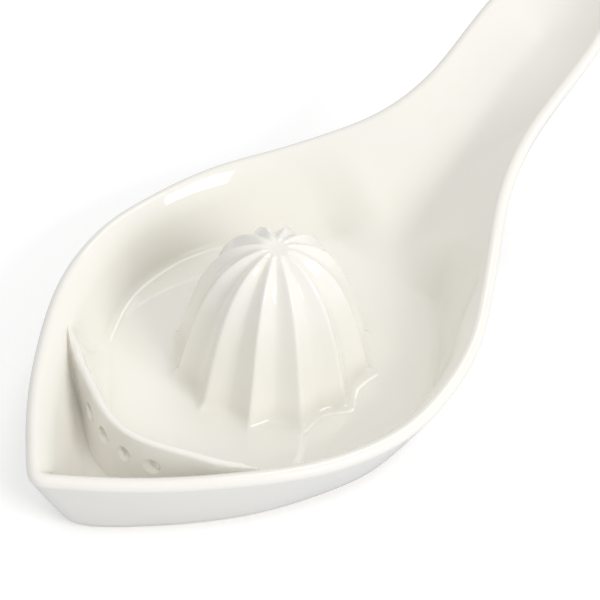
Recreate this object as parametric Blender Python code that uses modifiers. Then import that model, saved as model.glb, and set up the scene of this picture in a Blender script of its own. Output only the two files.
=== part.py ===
"""Lemon squeezer of glazed porcelain: a pointed dish with a fluted cone, a strainer wall and a trough handle.

Metres, +Z up. The shapes are drawn round the cone's axis, with +X along the handle, the pouring lip
towards -X and the foot on the plane z = 0. An empty then carries them all, so that the origin is the
middle of the whole length, at the foot.
"""
import math

import bmesh
import bpy

COLLECTION = "lemon_squeezer"

# Room between members that meet, the length by which a cutter passes what it cuts, and a merging distance.
GAP = 0.0003
OVERRUN = 0.002
WELD = 0.000002

# Rim: the centre line of its rounded edge, from the lip's tip to the handle's end.
RIM_RADIUS = 0.0019
LIP_X = -0.0843
LIP_HEIGHT = 0.0280
LIP_TIP_RADIUS = 0.0024
DISH_HALF_WIDTH = 0.0532
DISH_RIM_HEIGHT = 0.0245
HANDLE_HALF_WIDTH = 0.0168
HANDLE_START_X = 0.0600
HANDLE_END_X = 0.1270
HANDLE_END_HEIGHT = 0.0640

# Foot: the outline on which the dish stands, and the raised ring under it.
FOOT_TIP_X = -0.0742
FOOT_TAIL_X = 0.0540
FOOT_HALF_WIDTH = 0.0440
FOOT_TIP_RADIUS = 0.0030
FOOT_RING_HEIGHT = 0.0015
FOOT_RING_WIDTH = 0.0040
FOOT_RING_INSET = 0.0010
FOOT_RING_EDGE = 0.0004

# Inside of the dish and the handle's trough.
BASIN_FLOOR_HEIGHT = 0.0071
POCKET_FLOOR_HEIGHT = 0.0056
FLOOR_TIP_X = -0.0660
FLOOR_HALF_WIDTH = 0.0428
FLOOR_TIP_RADIUS = 0.0020
BASIN_LEAN = 0.25
LIP_LEAN = 0.50
TROUGH_LEAN = 0.80
TROUGH_DEPTH = 0.0065
HANDLE_WALL = 0.0050
TROUGH_END_INSET = 0.0080
KEEL_END_INSET = 0.0060
KEEL_HALF_WIDTH = 0.0050

# Strainer wall: a wall round the cone's axis, between the basin and the pouring pocket. Its level crest
# bulges towards the lip and sinks into the dish's wall at both ends. Its feet lie at distances from the crest.
STRAINER_RADIUS = 0.0536
STRAINER_BULGE = 0.0027
STRAINER_BULGE_REACH = math.radians(23)
STRAINER_HALF_CREST = 0.0011
STRAINER_HEIGHT = 0.0243
STRAINER_INNER_FOOT = 0.0048
STRAINER_INNER_FOOT_SIDE = 0.0103
STRAINER_OUTER_FOOT = 0.0036
STRAINER_OUTER_LEAN = 0.42
STRAINER_FOOT_TURN = (math.radians(10), math.radians(40))
STRAINER_SINKING = (math.radians(33), math.radians(58))
STRAINER_HALF_ANGLE = math.radians(54)
HOLE_COUNT = 4
HOLE_DIAMETER = 0.0032
HOLE_HEIGHT = 0.0168
HOLE_PITCH = math.radians(8.7)
HOLE_TURN = math.radians(-1.95)
HOLE_REACH = 0.0045

# Cone: ridges with hollow flutes between them, and a hollow inside that is open below.
RIDGE_COUNT = 12
CONE_RADIUS = 0.0270
CONE_HEIGHT = 0.0410
CONE_FLANK_HEIGHT = 0.0200
CONE_FLANK_RADIUS = 0.0216
CONE_SHOULDER_RADIUS = 0.0190
FLUTE_DEPTH = 0.0030
CONE_WALL = 0.0042

# How finely the shapes are drawn.
OUTLINE_STATIONS = 34
WALL_STEPS = 8
RIM_STEPS = 4
FLOOR_STEPS = 5
BASE_STEPS = 2
POINTS_PER_FLUTE = 6
CONE_RINGS = 11
HOLLOW_RINGS = 7
ARC_STEPS = 36
FLANK_STEPS = 5
CREST_STEPS = 6
HOLE_SIDES = 12

GLAZE_COLOUR = (0.86, 0.83, 0.76, 1.0)
BISQUE_COLOUR = (0.80, 0.75, 0.66, 1.0)

# Outlines as (share of the length, share of the half-width or height) stations.
DISH_OUTLINE = (
    (-1.0, 0.0), (-0.865, 0.267), (-0.673, 0.547), (-0.416, 0.835), (-0.2135, 0.964), (-0.03, 1.0),
)
RIM_SHOULDER = ((0.405, 0.90), (0.765, 0.673))
RIM_RISE = (
    (0.0, 0.0), (0.191, 0.033), (0.361, 0.109), (0.531, 0.286), (0.659, 0.494), (0.780, 0.716),
    (0.882, 0.886), (1.0, 1.0),
)
TROUGH_RISE = (
    (0.0, 0.0), (0.315, 0.0), (0.410, 0.030), (0.488, 0.117), (0.567, 0.286), (0.661, 0.504),
    (0.780, 0.748), (0.882, 0.903), (1.0, 1.0),
)
KEEL_RISE = (
    (0.0, 0.0), (0.390, 0.0), (0.457, 0.061), (0.520, 0.200), (0.583, 0.348), (0.661, 0.519),
    (0.780, 0.753), (0.882, 0.909), (1.0, 1.0),
)
POCKET_OUTLINE = (
    (-1.0, 0.0), (-0.86, 0.245), (-0.68, 0.490), (-0.545, 0.654), (-0.417, 0.766), (-0.222, 0.940),
    (-0.056, 0.996),
)
BASIN_OUTLINE = (
    (0.167, 0.972), (0.333, 0.884), (0.467, 0.756), (0.567, 0.645), (0.650, 0.537), (0.733, 0.420),
    (0.817, 0.318), (0.900, 0.257), (1.030, 0.217),
)
FOOT_OUTLINE = ((-1.0, 0.0), (-0.898, 0.218), (-0.752, 0.457), (-0.606, 0.645), (-0.461, 0.793), (-0.170, 0.982))

# Places along the axis of the rim, each with that of the floor's edge across from it.
FLOOR_MATCH = (
    (LIP_X, FLOOR_TIP_X), (-0.0490, -0.0375), (-0.0275, -0.0214), (0.0, 0.0), (0.0214, 0.0171),
    (0.0357, 0.0275), (0.0459, 0.0360), (0.0560, 0.0460), (0.0670, 0.0580), (0.0800, 0.0740),
    (HANDLE_END_X, HANDLE_END_X - TROUGH_END_INSET),
)


def mix(start, end, share):
    """The value between start and end at the given share of the way."""
    return start + (end - start) * share


def smooth_step(start, end, value):
    """Rises from 0 at start to 1 at end, level at both."""
    share = min(max((value - start) / (end - start), 0.0), 1.0)
    return share * share * (3.0 - 2.0 * share)


def smooth_line(stations, x):
    """Height at x of a smooth line through (place, height) stations, each with its neighbours' slope."""
    last = len(stations) - 1
    x = min(max(x, stations[0][0]), stations[last][0])
    index = max((i for i in range(last) if stations[i][0] <= x), default=0)

    def slope(i):
        before, after = stations[max(i - 1, 0)], stations[min(i + 1, last)]
        return (after[1] - before[1]) / (after[0] - before[0])

    (x0, y0), (x1, y1) = stations[index], stations[index + 1]
    span = x1 - x0
    t = (x - x0) / span
    return (
        y0 * (1 + 2 * t) * (1 - t) ** 2
        + slope(index) * span * t * (1 - t) ** 2
        + y1 * t * t * (3 - 2 * t)
        + slope(index + 1) * span * t * t * (t - 1)
    )


def scaled(shares, length, size, offset=0.0):
    """Stations in metres, from shares of a length and of a size."""
    return tuple((x * length, offset + y * size) for x, y in shares)


def nosed(stations, x, tip_radius):
    """Half-width at x of an outline whose pointed start is rounded to a small nose."""
    along = max(x - stations[0][0], 0.0)
    fade = max(0.0, 1.0 - along / (5.0 * tip_radius))
    return math.sqrt(smooth_line(stations, x) ** 2 + 2.0 * tip_radius * along * fade * fade)


def end_closing(x):
    """Share of the half-width left at the rim place x, as the handle's round end closes."""
    past = max(x - (HANDLE_END_X - HANDLE_HALF_WIDTH), 0.0) / HANDLE_HALF_WIDTH
    return math.sqrt(max(1.0 - past * past, 0.0))


def rim_point(share):
    """Centre of the rounded rim at a share of its length."""
    stations = (
        scaled(DISH_OUTLINE, -LIP_X, DISH_HALF_WIDTH)
        + scaled(RIM_SHOULDER, HANDLE_START_X, DISH_HALF_WIDTH)
        + ((mix(HANDLE_START_X, HANDLE_END_X, 0.11), 1.33 * HANDLE_HALF_WIDTH),)
        + ((mix(HANDLE_START_X, HANDLE_END_X, 0.35), 1.02 * HANDLE_HALF_WIDTH),)
        + ((mix(HANDLE_START_X, HANDLE_END_X, 0.58), HANDLE_HALF_WIDTH), (HANDLE_END_X, HANDLE_HALF_WIDTH))
    )
    heights = ((LIP_X, LIP_HEIGHT), (0.673 * LIP_X, mix(LIP_HEIGHT, DISH_RIM_HEIGHT, 0.4)))
    heights += scaled(RIM_RISE, HANDLE_END_X, HANDLE_END_HEIGHT - DISH_RIM_HEIGHT, DISH_RIM_HEIGHT)
    x = mix(LIP_X, HANDLE_END_X, share)
    return x, nosed(stations, x, LIP_TIP_RADIUS) * end_closing(x), smooth_line(heights, x)


def crest_radius(angle):
    """Distance of the strainer crest's middle from the cone's axis, at an angle from the lip's side."""
    away = min(angle / STRAINER_BULGE_REACH, 1.0)
    return STRAINER_RADIUS + STRAINER_BULGE * (1.0 + math.cos(math.pi * away)) / 2.0


def floor_height(x, y):
    """Height of the inner floor: the basin, the lower pocket beyond the strainer, and the trough's bottom."""
    end_x = HANDLE_END_X - TROUGH_END_INSET
    end_rise = HANDLE_END_HEIGHT - TROUGH_DEPTH - BASIN_FLOOR_HEIGHT
    rise = max(smooth_line(scaled(TROUGH_RISE, end_x, end_rise), x), 0.0)
    beyond = math.hypot(x, y) - crest_radius(math.atan2(abs(y), -x))
    drop = smooth_step(-STRAINER_OUTER_FOOT, STRAINER_OUTER_FOOT, beyond) if x < 0 else 0.0
    return mix(BASIN_FLOOR_HEIGHT, POCKET_FLOOR_HEIGHT, drop) + rise


def floor_edge(share):
    """Plan place of the floor's edge, where the inner wall starts to rise."""
    end_x = HANDLE_END_X - TROUGH_END_INSET
    stations = (
        scaled(POCKET_OUTLINE, -FLOOR_TIP_X, FLOOR_HALF_WIDTH)
        + scaled(BASIN_OUTLINE, HANDLE_START_X, FLOOR_HALF_WIDTH)
        + ((mix(HANDLE_START_X, end_x, 0.34), 0.36 * HANDLE_HALF_WIDTH),)
        + ((mix(HANDLE_START_X, end_x, 0.69), 0.30 * HANDLE_HALF_WIDTH), (end_x, 0.26 * HANDLE_HALF_WIDTH))
    )
    rim_x = mix(LIP_X, HANDLE_END_X, share)
    x = smooth_line(FLOOR_MATCH, rim_x)
    return x, nosed(stations, x, FLOOR_TIP_RADIUS) * end_closing(rim_x)


def inner_lean(x):
    """How far the inner wall stays level at its foot: most in the trough, little round the basin."""
    basin = mix(BASIN_LEAN, TROUGH_LEAN, smooth_step(0.45 * HANDLE_START_X, 1.25 * HANDLE_START_X, x))
    return mix(LIP_LEAN, basin, smooth_step(0.91 * FLOOR_TIP_X, 0.68 * FLOOR_TIP_X, x))


def keel_edge(share):
    """Place of the outer wall's lower edge: the foot's outline, then the underside of the handle."""
    end_x = HANDLE_END_X - KEEL_END_INSET
    stations = scaled(FOOT_OUTLINE, -FOOT_TIP_X, FOOT_HALF_WIDTH) + (
        (-0.04 * -FOOT_TIP_X, FOOT_HALF_WIDTH),
        (0.17 * FOOT_TAIL_X, 0.945 * FOOT_HALF_WIDTH),
        (0.57 * FOOT_TAIL_X, 0.71 * FOOT_HALF_WIDTH),
        (0.83 * FOOT_TAIL_X, 0.52 * FOOT_HALF_WIDTH),
        (0.97 * FOOT_TAIL_X, 0.44 * FOOT_HALF_WIDTH),
        (mix(FOOT_TAIL_X, end_x, 0.18), 2.4 * KEEL_HALF_WIDTH),
        (mix(FOOT_TAIL_X, end_x, 0.39), 1.6 * KEEL_HALF_WIDTH),
        (mix(FOOT_TAIL_X, end_x, 0.69), 1.2 * KEEL_HALF_WIDTH),
        (end_x, KEEL_HALF_WIDTH),
    )
    x = mix(FOOT_TIP_X, end_x, share)
    base = FOOT_RING_HEIGHT + GAP
    end_rise = HANDLE_END_HEIGHT - TROUGH_DEPTH - HANDLE_WALL - base
    height = base + max(smooth_line(scaled(KEEL_RISE, end_x, end_rise), x), 0.0)
    return x, nosed(stations, x, FOOT_TIP_RADIUS) * end_closing(mix(LIP_X, HANDLE_END_X, share)), height


def rim_normal(share):
    """Outward plan direction of the rim's centre line, straight out at its two ends."""
    if share in (0.0, 1.0):
        return (-1.0, 0.0) if share == 0.0 else (1.0, 0.0)
    step = min(1e-4, share / 2, (1.0 - share) / 2)
    before, after = rim_point(share - step), rim_point(share + step)
    dx, dy = after[0] - before[0], after[1] - before[1]
    length = math.hypot(dx, dy)
    return -dy / length, dx / length


def bowed(start, end, lean, steps, first=0):
    """Points of a wall that leaves start level and bends up to end, lean being how far it stays level."""
    points = []
    for step in range(first, steps + 1):
        s = step / steps
        along = 2.0 * s * (1.0 - s) * lean + s * s
        points.append((mix(start[0], end[0], along), mix(start[1], end[1], along), mix(start[2], end[2], s * s)))
    return points


def inner_side(share, gap=0.0):
    """Inner wall and floor at a share of the length, rim to middle, moved inward by gap."""
    x, y, z = rim_point(share)
    nx, ny = rim_normal(share)
    reach = RIM_RADIUS + gap
    top = (x - nx * reach, max(y - ny * reach, 0.0), z)
    edge_x, edge_y = floor_edge(share)
    edge_x += gap * (1.0 - 2.0 * share)
    edge = (edge_x, max(edge_y - gap, 0.0), floor_height(edge_x, edge_y) + gap)
    wall = bowed(edge, top, inner_lean(edge_x), WALL_STEPS)[::-1]
    floor = []
    for step in range(1, FLOOR_STEPS + 1):
        across = edge[1] * (1.0 - step / FLOOR_STEPS)
        floor.append((edge_x, across, floor_height(edge_x, across) + gap))
    return wall + floor


def body_section(share):
    """Half section of dish and handle, from the middle of the base round the rim to the middle of the floor."""
    x, y, z = rim_point(share)
    nx, ny = rim_normal(share)
    keel = keel_edge(share)
    base = [(keel[0], keel[1] * step / BASE_STEPS, keel[2]) for step in range(BASE_STEPS)]
    lean = mix(0.12, 0.75, smooth_step(0.6 * HANDLE_START_X, 1.2 * HANDLE_START_X, keel[0]))
    outer_top = (x + nx * RIM_RADIUS, y + ny * RIM_RADIUS, z)
    wall = bowed(keel, outer_top, lean, WALL_STEPS)
    rim = []
    for step in range(1, RIM_STEPS):
        turn = math.pi * step / RIM_STEPS
        out = RIM_RADIUS * math.cos(turn)
        rim.append((x + nx * out, max(y + ny * out, 0.0), z + RIM_RADIUS * math.sin(turn)))
    return base + wall + rim + inner_side(share)


def cavity_section(share):
    """Half section of the space inside the dish, kept clear of its walls, closed at the rim's height."""
    inside = inner_side(share, GAP)
    lid = (inside[0][0], 0.0, inside[0][2])
    return inside[::-1] + [lid]


def station_shares(count):
    """Shares of the length, close together at both ends."""
    return [(1.0 - math.cos(math.pi * i / count)) / 2.0 for i in range(count + 1)]


def loft(sections, flip=False, closed=False):
    """A bmesh skin across unlike sections that have equally many points."""
    shape = bmesh.new()
    rows = [[shape.verts.new(point) for point in section] for section in sections]
    count = len(rows[0])
    for row, following in zip(rows, rows[1:]):
        for i in range(count if closed else count - 1):
            after = (i + 1) % count
            corners = (row[i], row[after], following[after], following[i])
            shape.faces.new(corners[::-1] if flip else corners)
    bmesh.ops.remove_doubles(shape, verts=shape.verts, dist=WELD)
    return shape


def add_object(name, shape, collection, material=None):
    """Turns a bmesh into a named object in a collection, carried by the collection's empty."""
    mesh = bpy.data.meshes.new(name)
    shape.to_mesh(mesh)
    shape.free()
    piece = bpy.data.objects.new(name, mesh)
    piece.parent = collection.objects[f"{collection.name}_axis"]
    collection.objects.link(piece)
    if material:
        mesh.materials.append(material)
        mesh.shade_smooth()
        mesh.set_sharp_from_angle(angle=math.radians(40))
    return piece


def add_mirror(piece):
    """Completes a half that is open at the plane y = 0."""
    mirror = piece.modifiers.new("Mirror", "MIRROR")
    mirror.use_axis = (False, True, False)
    mirror.use_clip = True
    mirror.merge_threshold = 0.00001


def add_cut(piece, cutter, operation="DIFFERENCE"):
    """Cuts a piece with another, or keeps what they share."""
    cut = piece.modifiers.new(cutter.name, "BOOLEAN")
    cut.operation = operation
    cut.solver = "EXACT"
    cut.object = cutter


def add_cutter(name, shape, collection):
    """A hidden solid that only cuts others."""
    cutter = add_object(name, shape, collection)
    cutter.hide_render = True
    cutter.display_type = "WIRE"
    return cutter


def box_shape(low, high):
    """A box between two corners."""
    shape = bmesh.new()
    bmesh.ops.create_cube(shape, size=1.0)
    for vert in shape.verts:
        vert.co = [mix(low[i], high[i], vert.co[i] + 0.5) for i in range(3)]
    return shape


def cylinder_shape(radius, low, high, sides):
    """An upright cylinder on the origin's axis."""
    shape = bmesh.new()
    bmesh.ops.create_cone(shape, cap_ends=True, segments=sides, radius1=radius, radius2=radius, depth=high - low)
    bmesh.ops.translate(shape, verts=shape.verts, vec=(0.0, 0.0, (low + high) / 2))
    return shape


def porcelain(name, colour, roughness):
    """A fired clay material."""
    material = bpy.data.materials.new(name)
    material.use_nodes = True
    surface = material.node_tree.nodes["Principled BSDF"]
    surface.inputs["Base Color"].default_value = colour
    surface.inputs["Roughness"].default_value = roughness
    surface.inputs["Metallic"].default_value = 0.0
    material.diffuse_color = colour
    return material


def body_shape():
    """Half of the dish and the handle as one skin, open at the plane of symmetry."""
    return loft([body_section(share) for share in station_shares(OUTLINE_STATIONS)])


def cone_inner_radius():
    """Radius of the hollow inside the cone, at its base."""
    return CONE_RADIUS - FLUTE_DEPTH - CONE_WALL


def add_dish(parts, cutters, material):
    """The basin and pouring pocket, with the opening in its floor below the hollow cone."""
    dish = add_object("dish", body_shape(), parts, material)
    add_mirror(dish)
    reach = HANDLE_END_X + 2 * RIM_RADIUS
    top = HANDLE_END_HEIGHT + 2 * RIM_RADIUS
    side = DISH_HALF_WIDTH + 2 * RIM_RADIUS
    beyond = box_shape((HANDLE_START_X, -side, -OVERRUN), (reach, side, top))
    add_cut(dish, add_cutter("handle_side", beyond, cutters))
    sides = RIDGE_COUNT * POINTS_PER_FLUTE
    opening = cylinder_shape(cone_inner_radius(), -OVERRUN, BASIN_FLOOR_HEIGHT + OVERRUN, sides)
    add_cut(dish, add_cutter("floor_opening", opening, cutters))


def add_handle(parts, cutters, material):
    """The rising trough that the hand holds."""
    handle = add_object("handle", body_shape(), parts, material)
    add_mirror(handle)
    side = DISH_HALF_WIDTH + 2 * RIM_RADIUS
    top = HANDLE_END_HEIGHT + 2 * RIM_RADIUS
    before = box_shape((LIP_X - 2 * RIM_RADIUS, -side, -OVERRUN), (HANDLE_START_X + GAP, side, top))
    add_cut(handle, add_cutter("dish_side", before, cutters))


def foot_ring_section(share):
    """Closed section of the foot ring at a share of its length, outer edge first."""
    x = mix(FOOT_TIP_X, FOOT_TAIL_X, share)
    middle = (FOOT_TIP_X + FOOT_TAIL_X) / 2
    half_length = (FOOT_TAIL_X - FOOT_TIP_X) / 2
    stations = scaled(FOOT_OUTLINE, -FOOT_TIP_X, FOOT_HALF_WIDTH) + (
        (-0.04 * -FOOT_TIP_X, FOOT_HALF_WIDTH),
        (0.17 * FOOT_TAIL_X, 0.945 * FOOT_HALF_WIDTH),
        (0.57 * FOOT_TAIL_X, 0.71 * FOOT_HALF_WIDTH),
        (0.83 * FOOT_TAIL_X, 0.52 * FOOT_HALF_WIDTH),
        (FOOT_TAIL_X, 0.42 * FOOT_HALF_WIDTH),
    )
    past = max(x - 0.5 * FOOT_TAIL_X, 0.0) / (0.5 * FOOT_TAIL_X)
    y = nosed(stations, x, FOOT_TIP_RADIUS) * math.sqrt(max(1.0 - past * past, 0.0))

    def place(inset, height):
        along = 1.0 - inset / half_length
        across = 1.0 - inset / FOOT_HALF_WIDTH
        return middle + (x - middle) * along, y * across, height

    outer, inner = FOOT_RING_INSET, FOOT_RING_INSET + FOOT_RING_WIDTH
    edge = FOOT_RING_EDGE
    return [
        place(outer, FOOT_RING_HEIGHT),
        place(outer, edge),
        place(outer + edge, 0.0),
        place(inner - edge, 0.0),
        place(inner, edge),
        place(inner, FOOT_RING_HEIGHT),
    ]


def add_foot_ring(parts, material):
    """The unglazed ring that stands on the table."""
    sections = [foot_ring_section(share) for share in station_shares(OUTLINE_STATIONS)]
    ring = add_object("foot_ring", loft(sections, flip=True, closed=True), parts, material)
    add_mirror(ring)


def strainer_flank(foot, lean, rise):
    """(distance, height) points of one leaning side of the strainer wall, from its foot to the crest's middle."""
    crest = STRAINER_HALF_CREST
    turn = math.atan2(rise, (foot - crest) * (1.0 - lean))
    edge, shoulder = crest * math.sin(turn), rise - crest * (1.0 - math.cos(turn))
    points = []
    for step in range(FLANK_STEPS + 1):
        s = step / FLANK_STEPS
        points.append((mix(foot, edge, 2.0 * s * (1.0 - s) * lean + s * s), shoulder * s * s))
    for step in range(1, CREST_STEPS // 2 + 1):
        left = turn * (1.0 - 2.0 * step / CREST_STEPS)
        points.append((crest * math.sin(left), rise - crest * (1.0 - math.cos(left))))
    return points


def strainer_section(angle):
    """Closed section of the strainer wall at an angle from the lip's side."""
    away = abs(angle)
    middle = crest_radius(away)
    top = mix(STRAINER_HEIGHT, BASIN_FLOOR_HEIGHT, smooth_step(*STRAINER_SINKING, away))
    inner_foot = mix(STRAINER_INNER_FOOT, STRAINER_INNER_FOOT_SIDE, smooth_step(*STRAINER_FOOT_TURN, away))
    inner = strainer_flank(inner_foot, BASIN_LEAN, top - BASIN_FLOOR_HEIGHT)
    outer = strainer_flank(STRAINER_OUTER_FOOT, STRAINER_OUTER_LEAN, top - POCKET_FLOOR_HEIGHT)
    low = POCKET_FLOOR_HEIGHT - OVERRUN / 2
    points = [(middle - inner_foot, low)]
    points += [(middle - distance, BASIN_FLOOR_HEIGHT + height) for distance, height in inner]
    points += [(middle + distance, POCKET_FLOOR_HEIGHT + height) for distance, height in outer[-2::-1]]
    points.append((middle + STRAINER_OUTER_FOOT, low))
    return [(-radius * math.cos(angle), radius * math.sin(angle), height) for radius, height in points]


def add_strainer_wall(parts, cutters, material):
    """The curved wall with its row of drain holes, fitted to the inside of the dish."""
    angles = [mix(-STRAINER_HALF_ANGLE, STRAINER_HALF_ANGLE, i / ARC_STEPS) for i in range(ARC_STEPS + 1)]
    shape = loft([strainer_section(angle) for angle in angles], closed=True)
    ends = [edge for edge in shape.edges if edge.is_boundary]
    bmesh.ops.holes_fill(shape, edges=ends)
    bmesh.ops.recalc_face_normals(shape, faces=shape.faces)
    wall = add_object("strainer_wall", shape, parts, material)
    middle = (HOLE_COUNT - 1) / 2
    for number in range(HOLE_COUNT):
        hole = cylinder_shape(HOLE_DIAMETER / 2, -HOLE_REACH, HOLE_REACH, HOLE_SIDES)
        cutter = add_cutter(f"drain_hole_{number + 1}", hole, cutters)
        turn = HOLE_TURN + (number - middle) * HOLE_PITCH
        away, angle = crest_radius(abs(turn)), math.pi + turn
        cutter.location = (away * math.cos(angle), away * math.sin(angle), HOLE_HEIGHT)
        cutter.rotation_euler = (0.0, math.pi / 2, angle)
        add_cut(wall, cutter)
    inside = loft([cavity_section(share) for share in station_shares(OUTLINE_STATIONS)])
    cavity = add_cutter("dish_inside", inside, cutters)
    add_mirror(cavity)
    add_cut(wall, cavity, "INTERSECT")


def cone_profile(share, radius, flank_radius, flank_height, shoulder_radius, height):
    """Radius and height on a bell-shaped outline, from its base to its top."""
    s, r = share, 1.0 - share
    return (
        r ** 3 * radius + 3 * s * r * r * flank_radius + 3 * s * s * r * shoulder_radius,
        3 * s * r * r * flank_height + 3 * s * s * r * height + s ** 3 * height,
    )


def fluted_ring(share, base):
    """One ring of the cone's outside: sharp ridges with round hollows between them."""
    outline = (CONE_RADIUS, CONE_FLANK_RADIUS, CONE_FLANK_HEIGHT, CONE_SHOULDER_RADIUS, CONE_HEIGHT)
    radius, height = cone_profile(share, *outline)
    depth = FLUTE_DEPTH * radius / CONE_RADIUS
    count = RIDGE_COUNT * POINTS_PER_FLUTE
    points = []
    for i in range(count):
        across = 2.0 * (i % POINTS_PER_FLUTE) / POINTS_PER_FLUTE - 1.0
        reach = radius - depth * (1.0 - across * across)
        angle = 2.0 * math.pi * i / count
        points.append((reach * math.cos(angle), reach * math.sin(angle), base + height))
    return points


def hollow_ring(share, base):
    """One ring of the round hollow inside the cone."""
    inset = FLUTE_DEPTH + CONE_WALL
    outline = (
        CONE_RADIUS - inset, CONE_FLANK_RADIUS - inset, CONE_FLANK_HEIGHT, CONE_SHOULDER_RADIUS - inset,
        CONE_HEIGHT - CONE_WALL,
    )
    radius, height = cone_profile(share, *outline)
    count = RIDGE_COUNT * POINTS_PER_FLUTE
    angles = [2.0 * math.pi * i / count for i in range(count)]
    return [(radius * math.cos(angle), radius * math.sin(angle), base + height) for angle in angles]


def add_reamer(parts, material):
    """The fluted cone on which a half lemon is turned."""
    base = BASIN_FLOOR_HEIGHT + GAP
    outside = [fluted_ring(i / CONE_RINGS, base) for i in range(CONE_RINGS, -1, -1)]
    inside = [hollow_ring(i / HOLLOW_RINGS, base) for i in range(HOLLOW_RINGS + 1)]
    reamer = loft(outside + inside, flip=True, closed=True)
    add_object("reamer", reamer, parts, material)


def add_collection(name):
    """A collection with an empty on the cone's axis, which carries its objects."""
    collection = bpy.data.collections.new(name)
    bpy.context.scene.collection.children.link(collection)
    axis = bpy.data.objects.new(f"{name}_axis", None)
    axis.location.x = -(LIP_X + HANDLE_END_X) / 2
    collection.objects.link(axis)
    return collection


def build():
    """Makes the whole lemon squeezer in an empty scene."""
    for piece in list(bpy.data.objects):
        bpy.data.objects.remove(piece, do_unlink=True)
    parts = add_collection(COLLECTION)
    cutters = add_collection("cutters")
    glaze = porcelain("glazed_porcelain", GLAZE_COLOUR, 0.12)
    bisque = porcelain("bisque_foot", BISQUE_COLOUR, 0.75)
    add_dish(parts, cutters, glaze)
    add_handle(parts, cutters, glaze)
    add_reamer(parts, glaze)
    add_strainer_wall(parts, cutters, glaze)
    add_foot_ring(parts, bisque)


build()
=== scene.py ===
"""Glazed porcelain lemon squeezer: pointed dish, fluted cone, strainer wall and trough handle.

The members are drawn round the cone's axis as one fired skin, then parted into the dish, the
handle, the reamer and the strainer wall, which meet without a seam in the glaze. Metres, +Z up,
+X along the handle.
"""
import logging
import math
from dataclasses import dataclass, field
from enum import Enum

import bmesh
import bpy
import numpy as np
from mathutils import Matrix, Vector
from mathutils.kdtree import KDTree


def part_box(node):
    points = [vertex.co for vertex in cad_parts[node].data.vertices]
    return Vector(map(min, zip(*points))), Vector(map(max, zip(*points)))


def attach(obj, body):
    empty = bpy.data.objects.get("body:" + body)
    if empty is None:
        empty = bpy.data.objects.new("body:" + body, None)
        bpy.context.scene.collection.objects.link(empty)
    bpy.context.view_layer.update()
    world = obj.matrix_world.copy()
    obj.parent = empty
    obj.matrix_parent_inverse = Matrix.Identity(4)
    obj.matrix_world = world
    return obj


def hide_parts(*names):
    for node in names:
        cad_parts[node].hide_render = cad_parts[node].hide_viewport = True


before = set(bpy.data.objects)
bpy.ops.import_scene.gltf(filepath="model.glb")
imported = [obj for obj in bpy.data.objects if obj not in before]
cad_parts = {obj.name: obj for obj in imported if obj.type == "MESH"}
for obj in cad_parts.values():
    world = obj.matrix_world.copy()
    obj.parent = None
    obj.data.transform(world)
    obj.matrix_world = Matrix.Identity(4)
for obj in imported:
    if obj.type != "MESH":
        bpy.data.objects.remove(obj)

LOG = logging.getLogger("lemon_squeezer")
WELD = 0.0000002
SNAP = 0.000003
TINY = 1e-9
SPECK = 1e-12
LEAST_WIDTH = 1e-5
LEAST_RUN = 1e-6
MILLIMETRE = 0.001
SPREAD_ROUNDS = 4

Stations = tuple[tuple[float, float], ...]
Colour = tuple[float, float, float]


class Member(Enum):
    """Members of the fired body, each a piece of its own."""

    DISH = 1
    HANDLE = 2
    REAMER = 3
    STRAINER_WALL = 4


def mix(start: float, end: float, share: float) -> float:
    """The value between start and end at the given share of the way."""
    return start + (end - start) * share


def scaled(shares: Stations, length: float, height: float) -> Stations:
    """Stations that are given as shares of a length and of a height."""
    return tuple((x * length, y * height) for x, y in shares)


def between(shares: Stations, start: float, end: float, height: float) -> Stations:
    """Stations that are given as shares of the way from start to end and of a height."""
    return tuple((mix(start, end, x), y * height) for x, y in shares)


def smooth_step(start: float, end: float, value: np.ndarray) -> np.ndarray:
    """Rises from 0 at start to 1 at end, level at both."""
    share = np.clip((value - start) / (end - start), 0.0, 1.0)
    return share * share * (3.0 - 2.0 * share)


def smooth_line(stations: Stations, places: np.ndarray) -> np.ndarray:
    """Heights of a smooth line through stations, carried on straight beyond its ends.

    Args:
        stations: (place, height) pairs in rising order of place.
        places: Where the line is read.

    Returns:
        The height at each place.
    """
    at, up = np.array(stations, dtype=float).T
    slopes = np.gradient(up, at, edge_order=1)
    slopes[1:-1] = (up[2:] - up[:-2]) / (at[2:] - at[:-2])
    inside = np.clip(places, at[0], at[-1])
    index = np.clip(np.searchsorted(at, inside, side="right") - 1, 0, len(at) - 2)
    span = at[index + 1] - at[index]
    t = (inside - at[index]) / span
    heights = (
        up[index] * (1 + 2 * t) * (1 - t) ** 2
        + slopes[index] * span * t * (1 - t) ** 2
        + up[index + 1] * t * t * (3 - 2 * t)
        + slopes[index + 1] * span * t * t * (t - 1)
    )
    return heights + (places - inside) * np.where(places < at[0], slopes[0], slopes[-1])


def blurred(
    values: np.ndarray, places: np.ndarray, reach: np.ndarray, at: np.ndarray,
) -> np.ndarray:
    """Values along a line, each replaced by a bell-shaped mean of those near it.

    Args:
        values: One row of numbers for each place on the line.
        places: Where the values stand, in rising order.
        reach: Width of the bell at each place in at.
        at: Places where the means are wanted.

    Returns:
        One row of numbers for each place in at.
    """
    bell = np.exp(-0.5 * ((at[:, None] - places[None, :]) / reach[:, None]) ** 2)
    weight = bell * np.gradient(places)[None, :]
    return (weight @ values) / weight.sum(axis=1, keepdims=values.ndim > 1)


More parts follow.
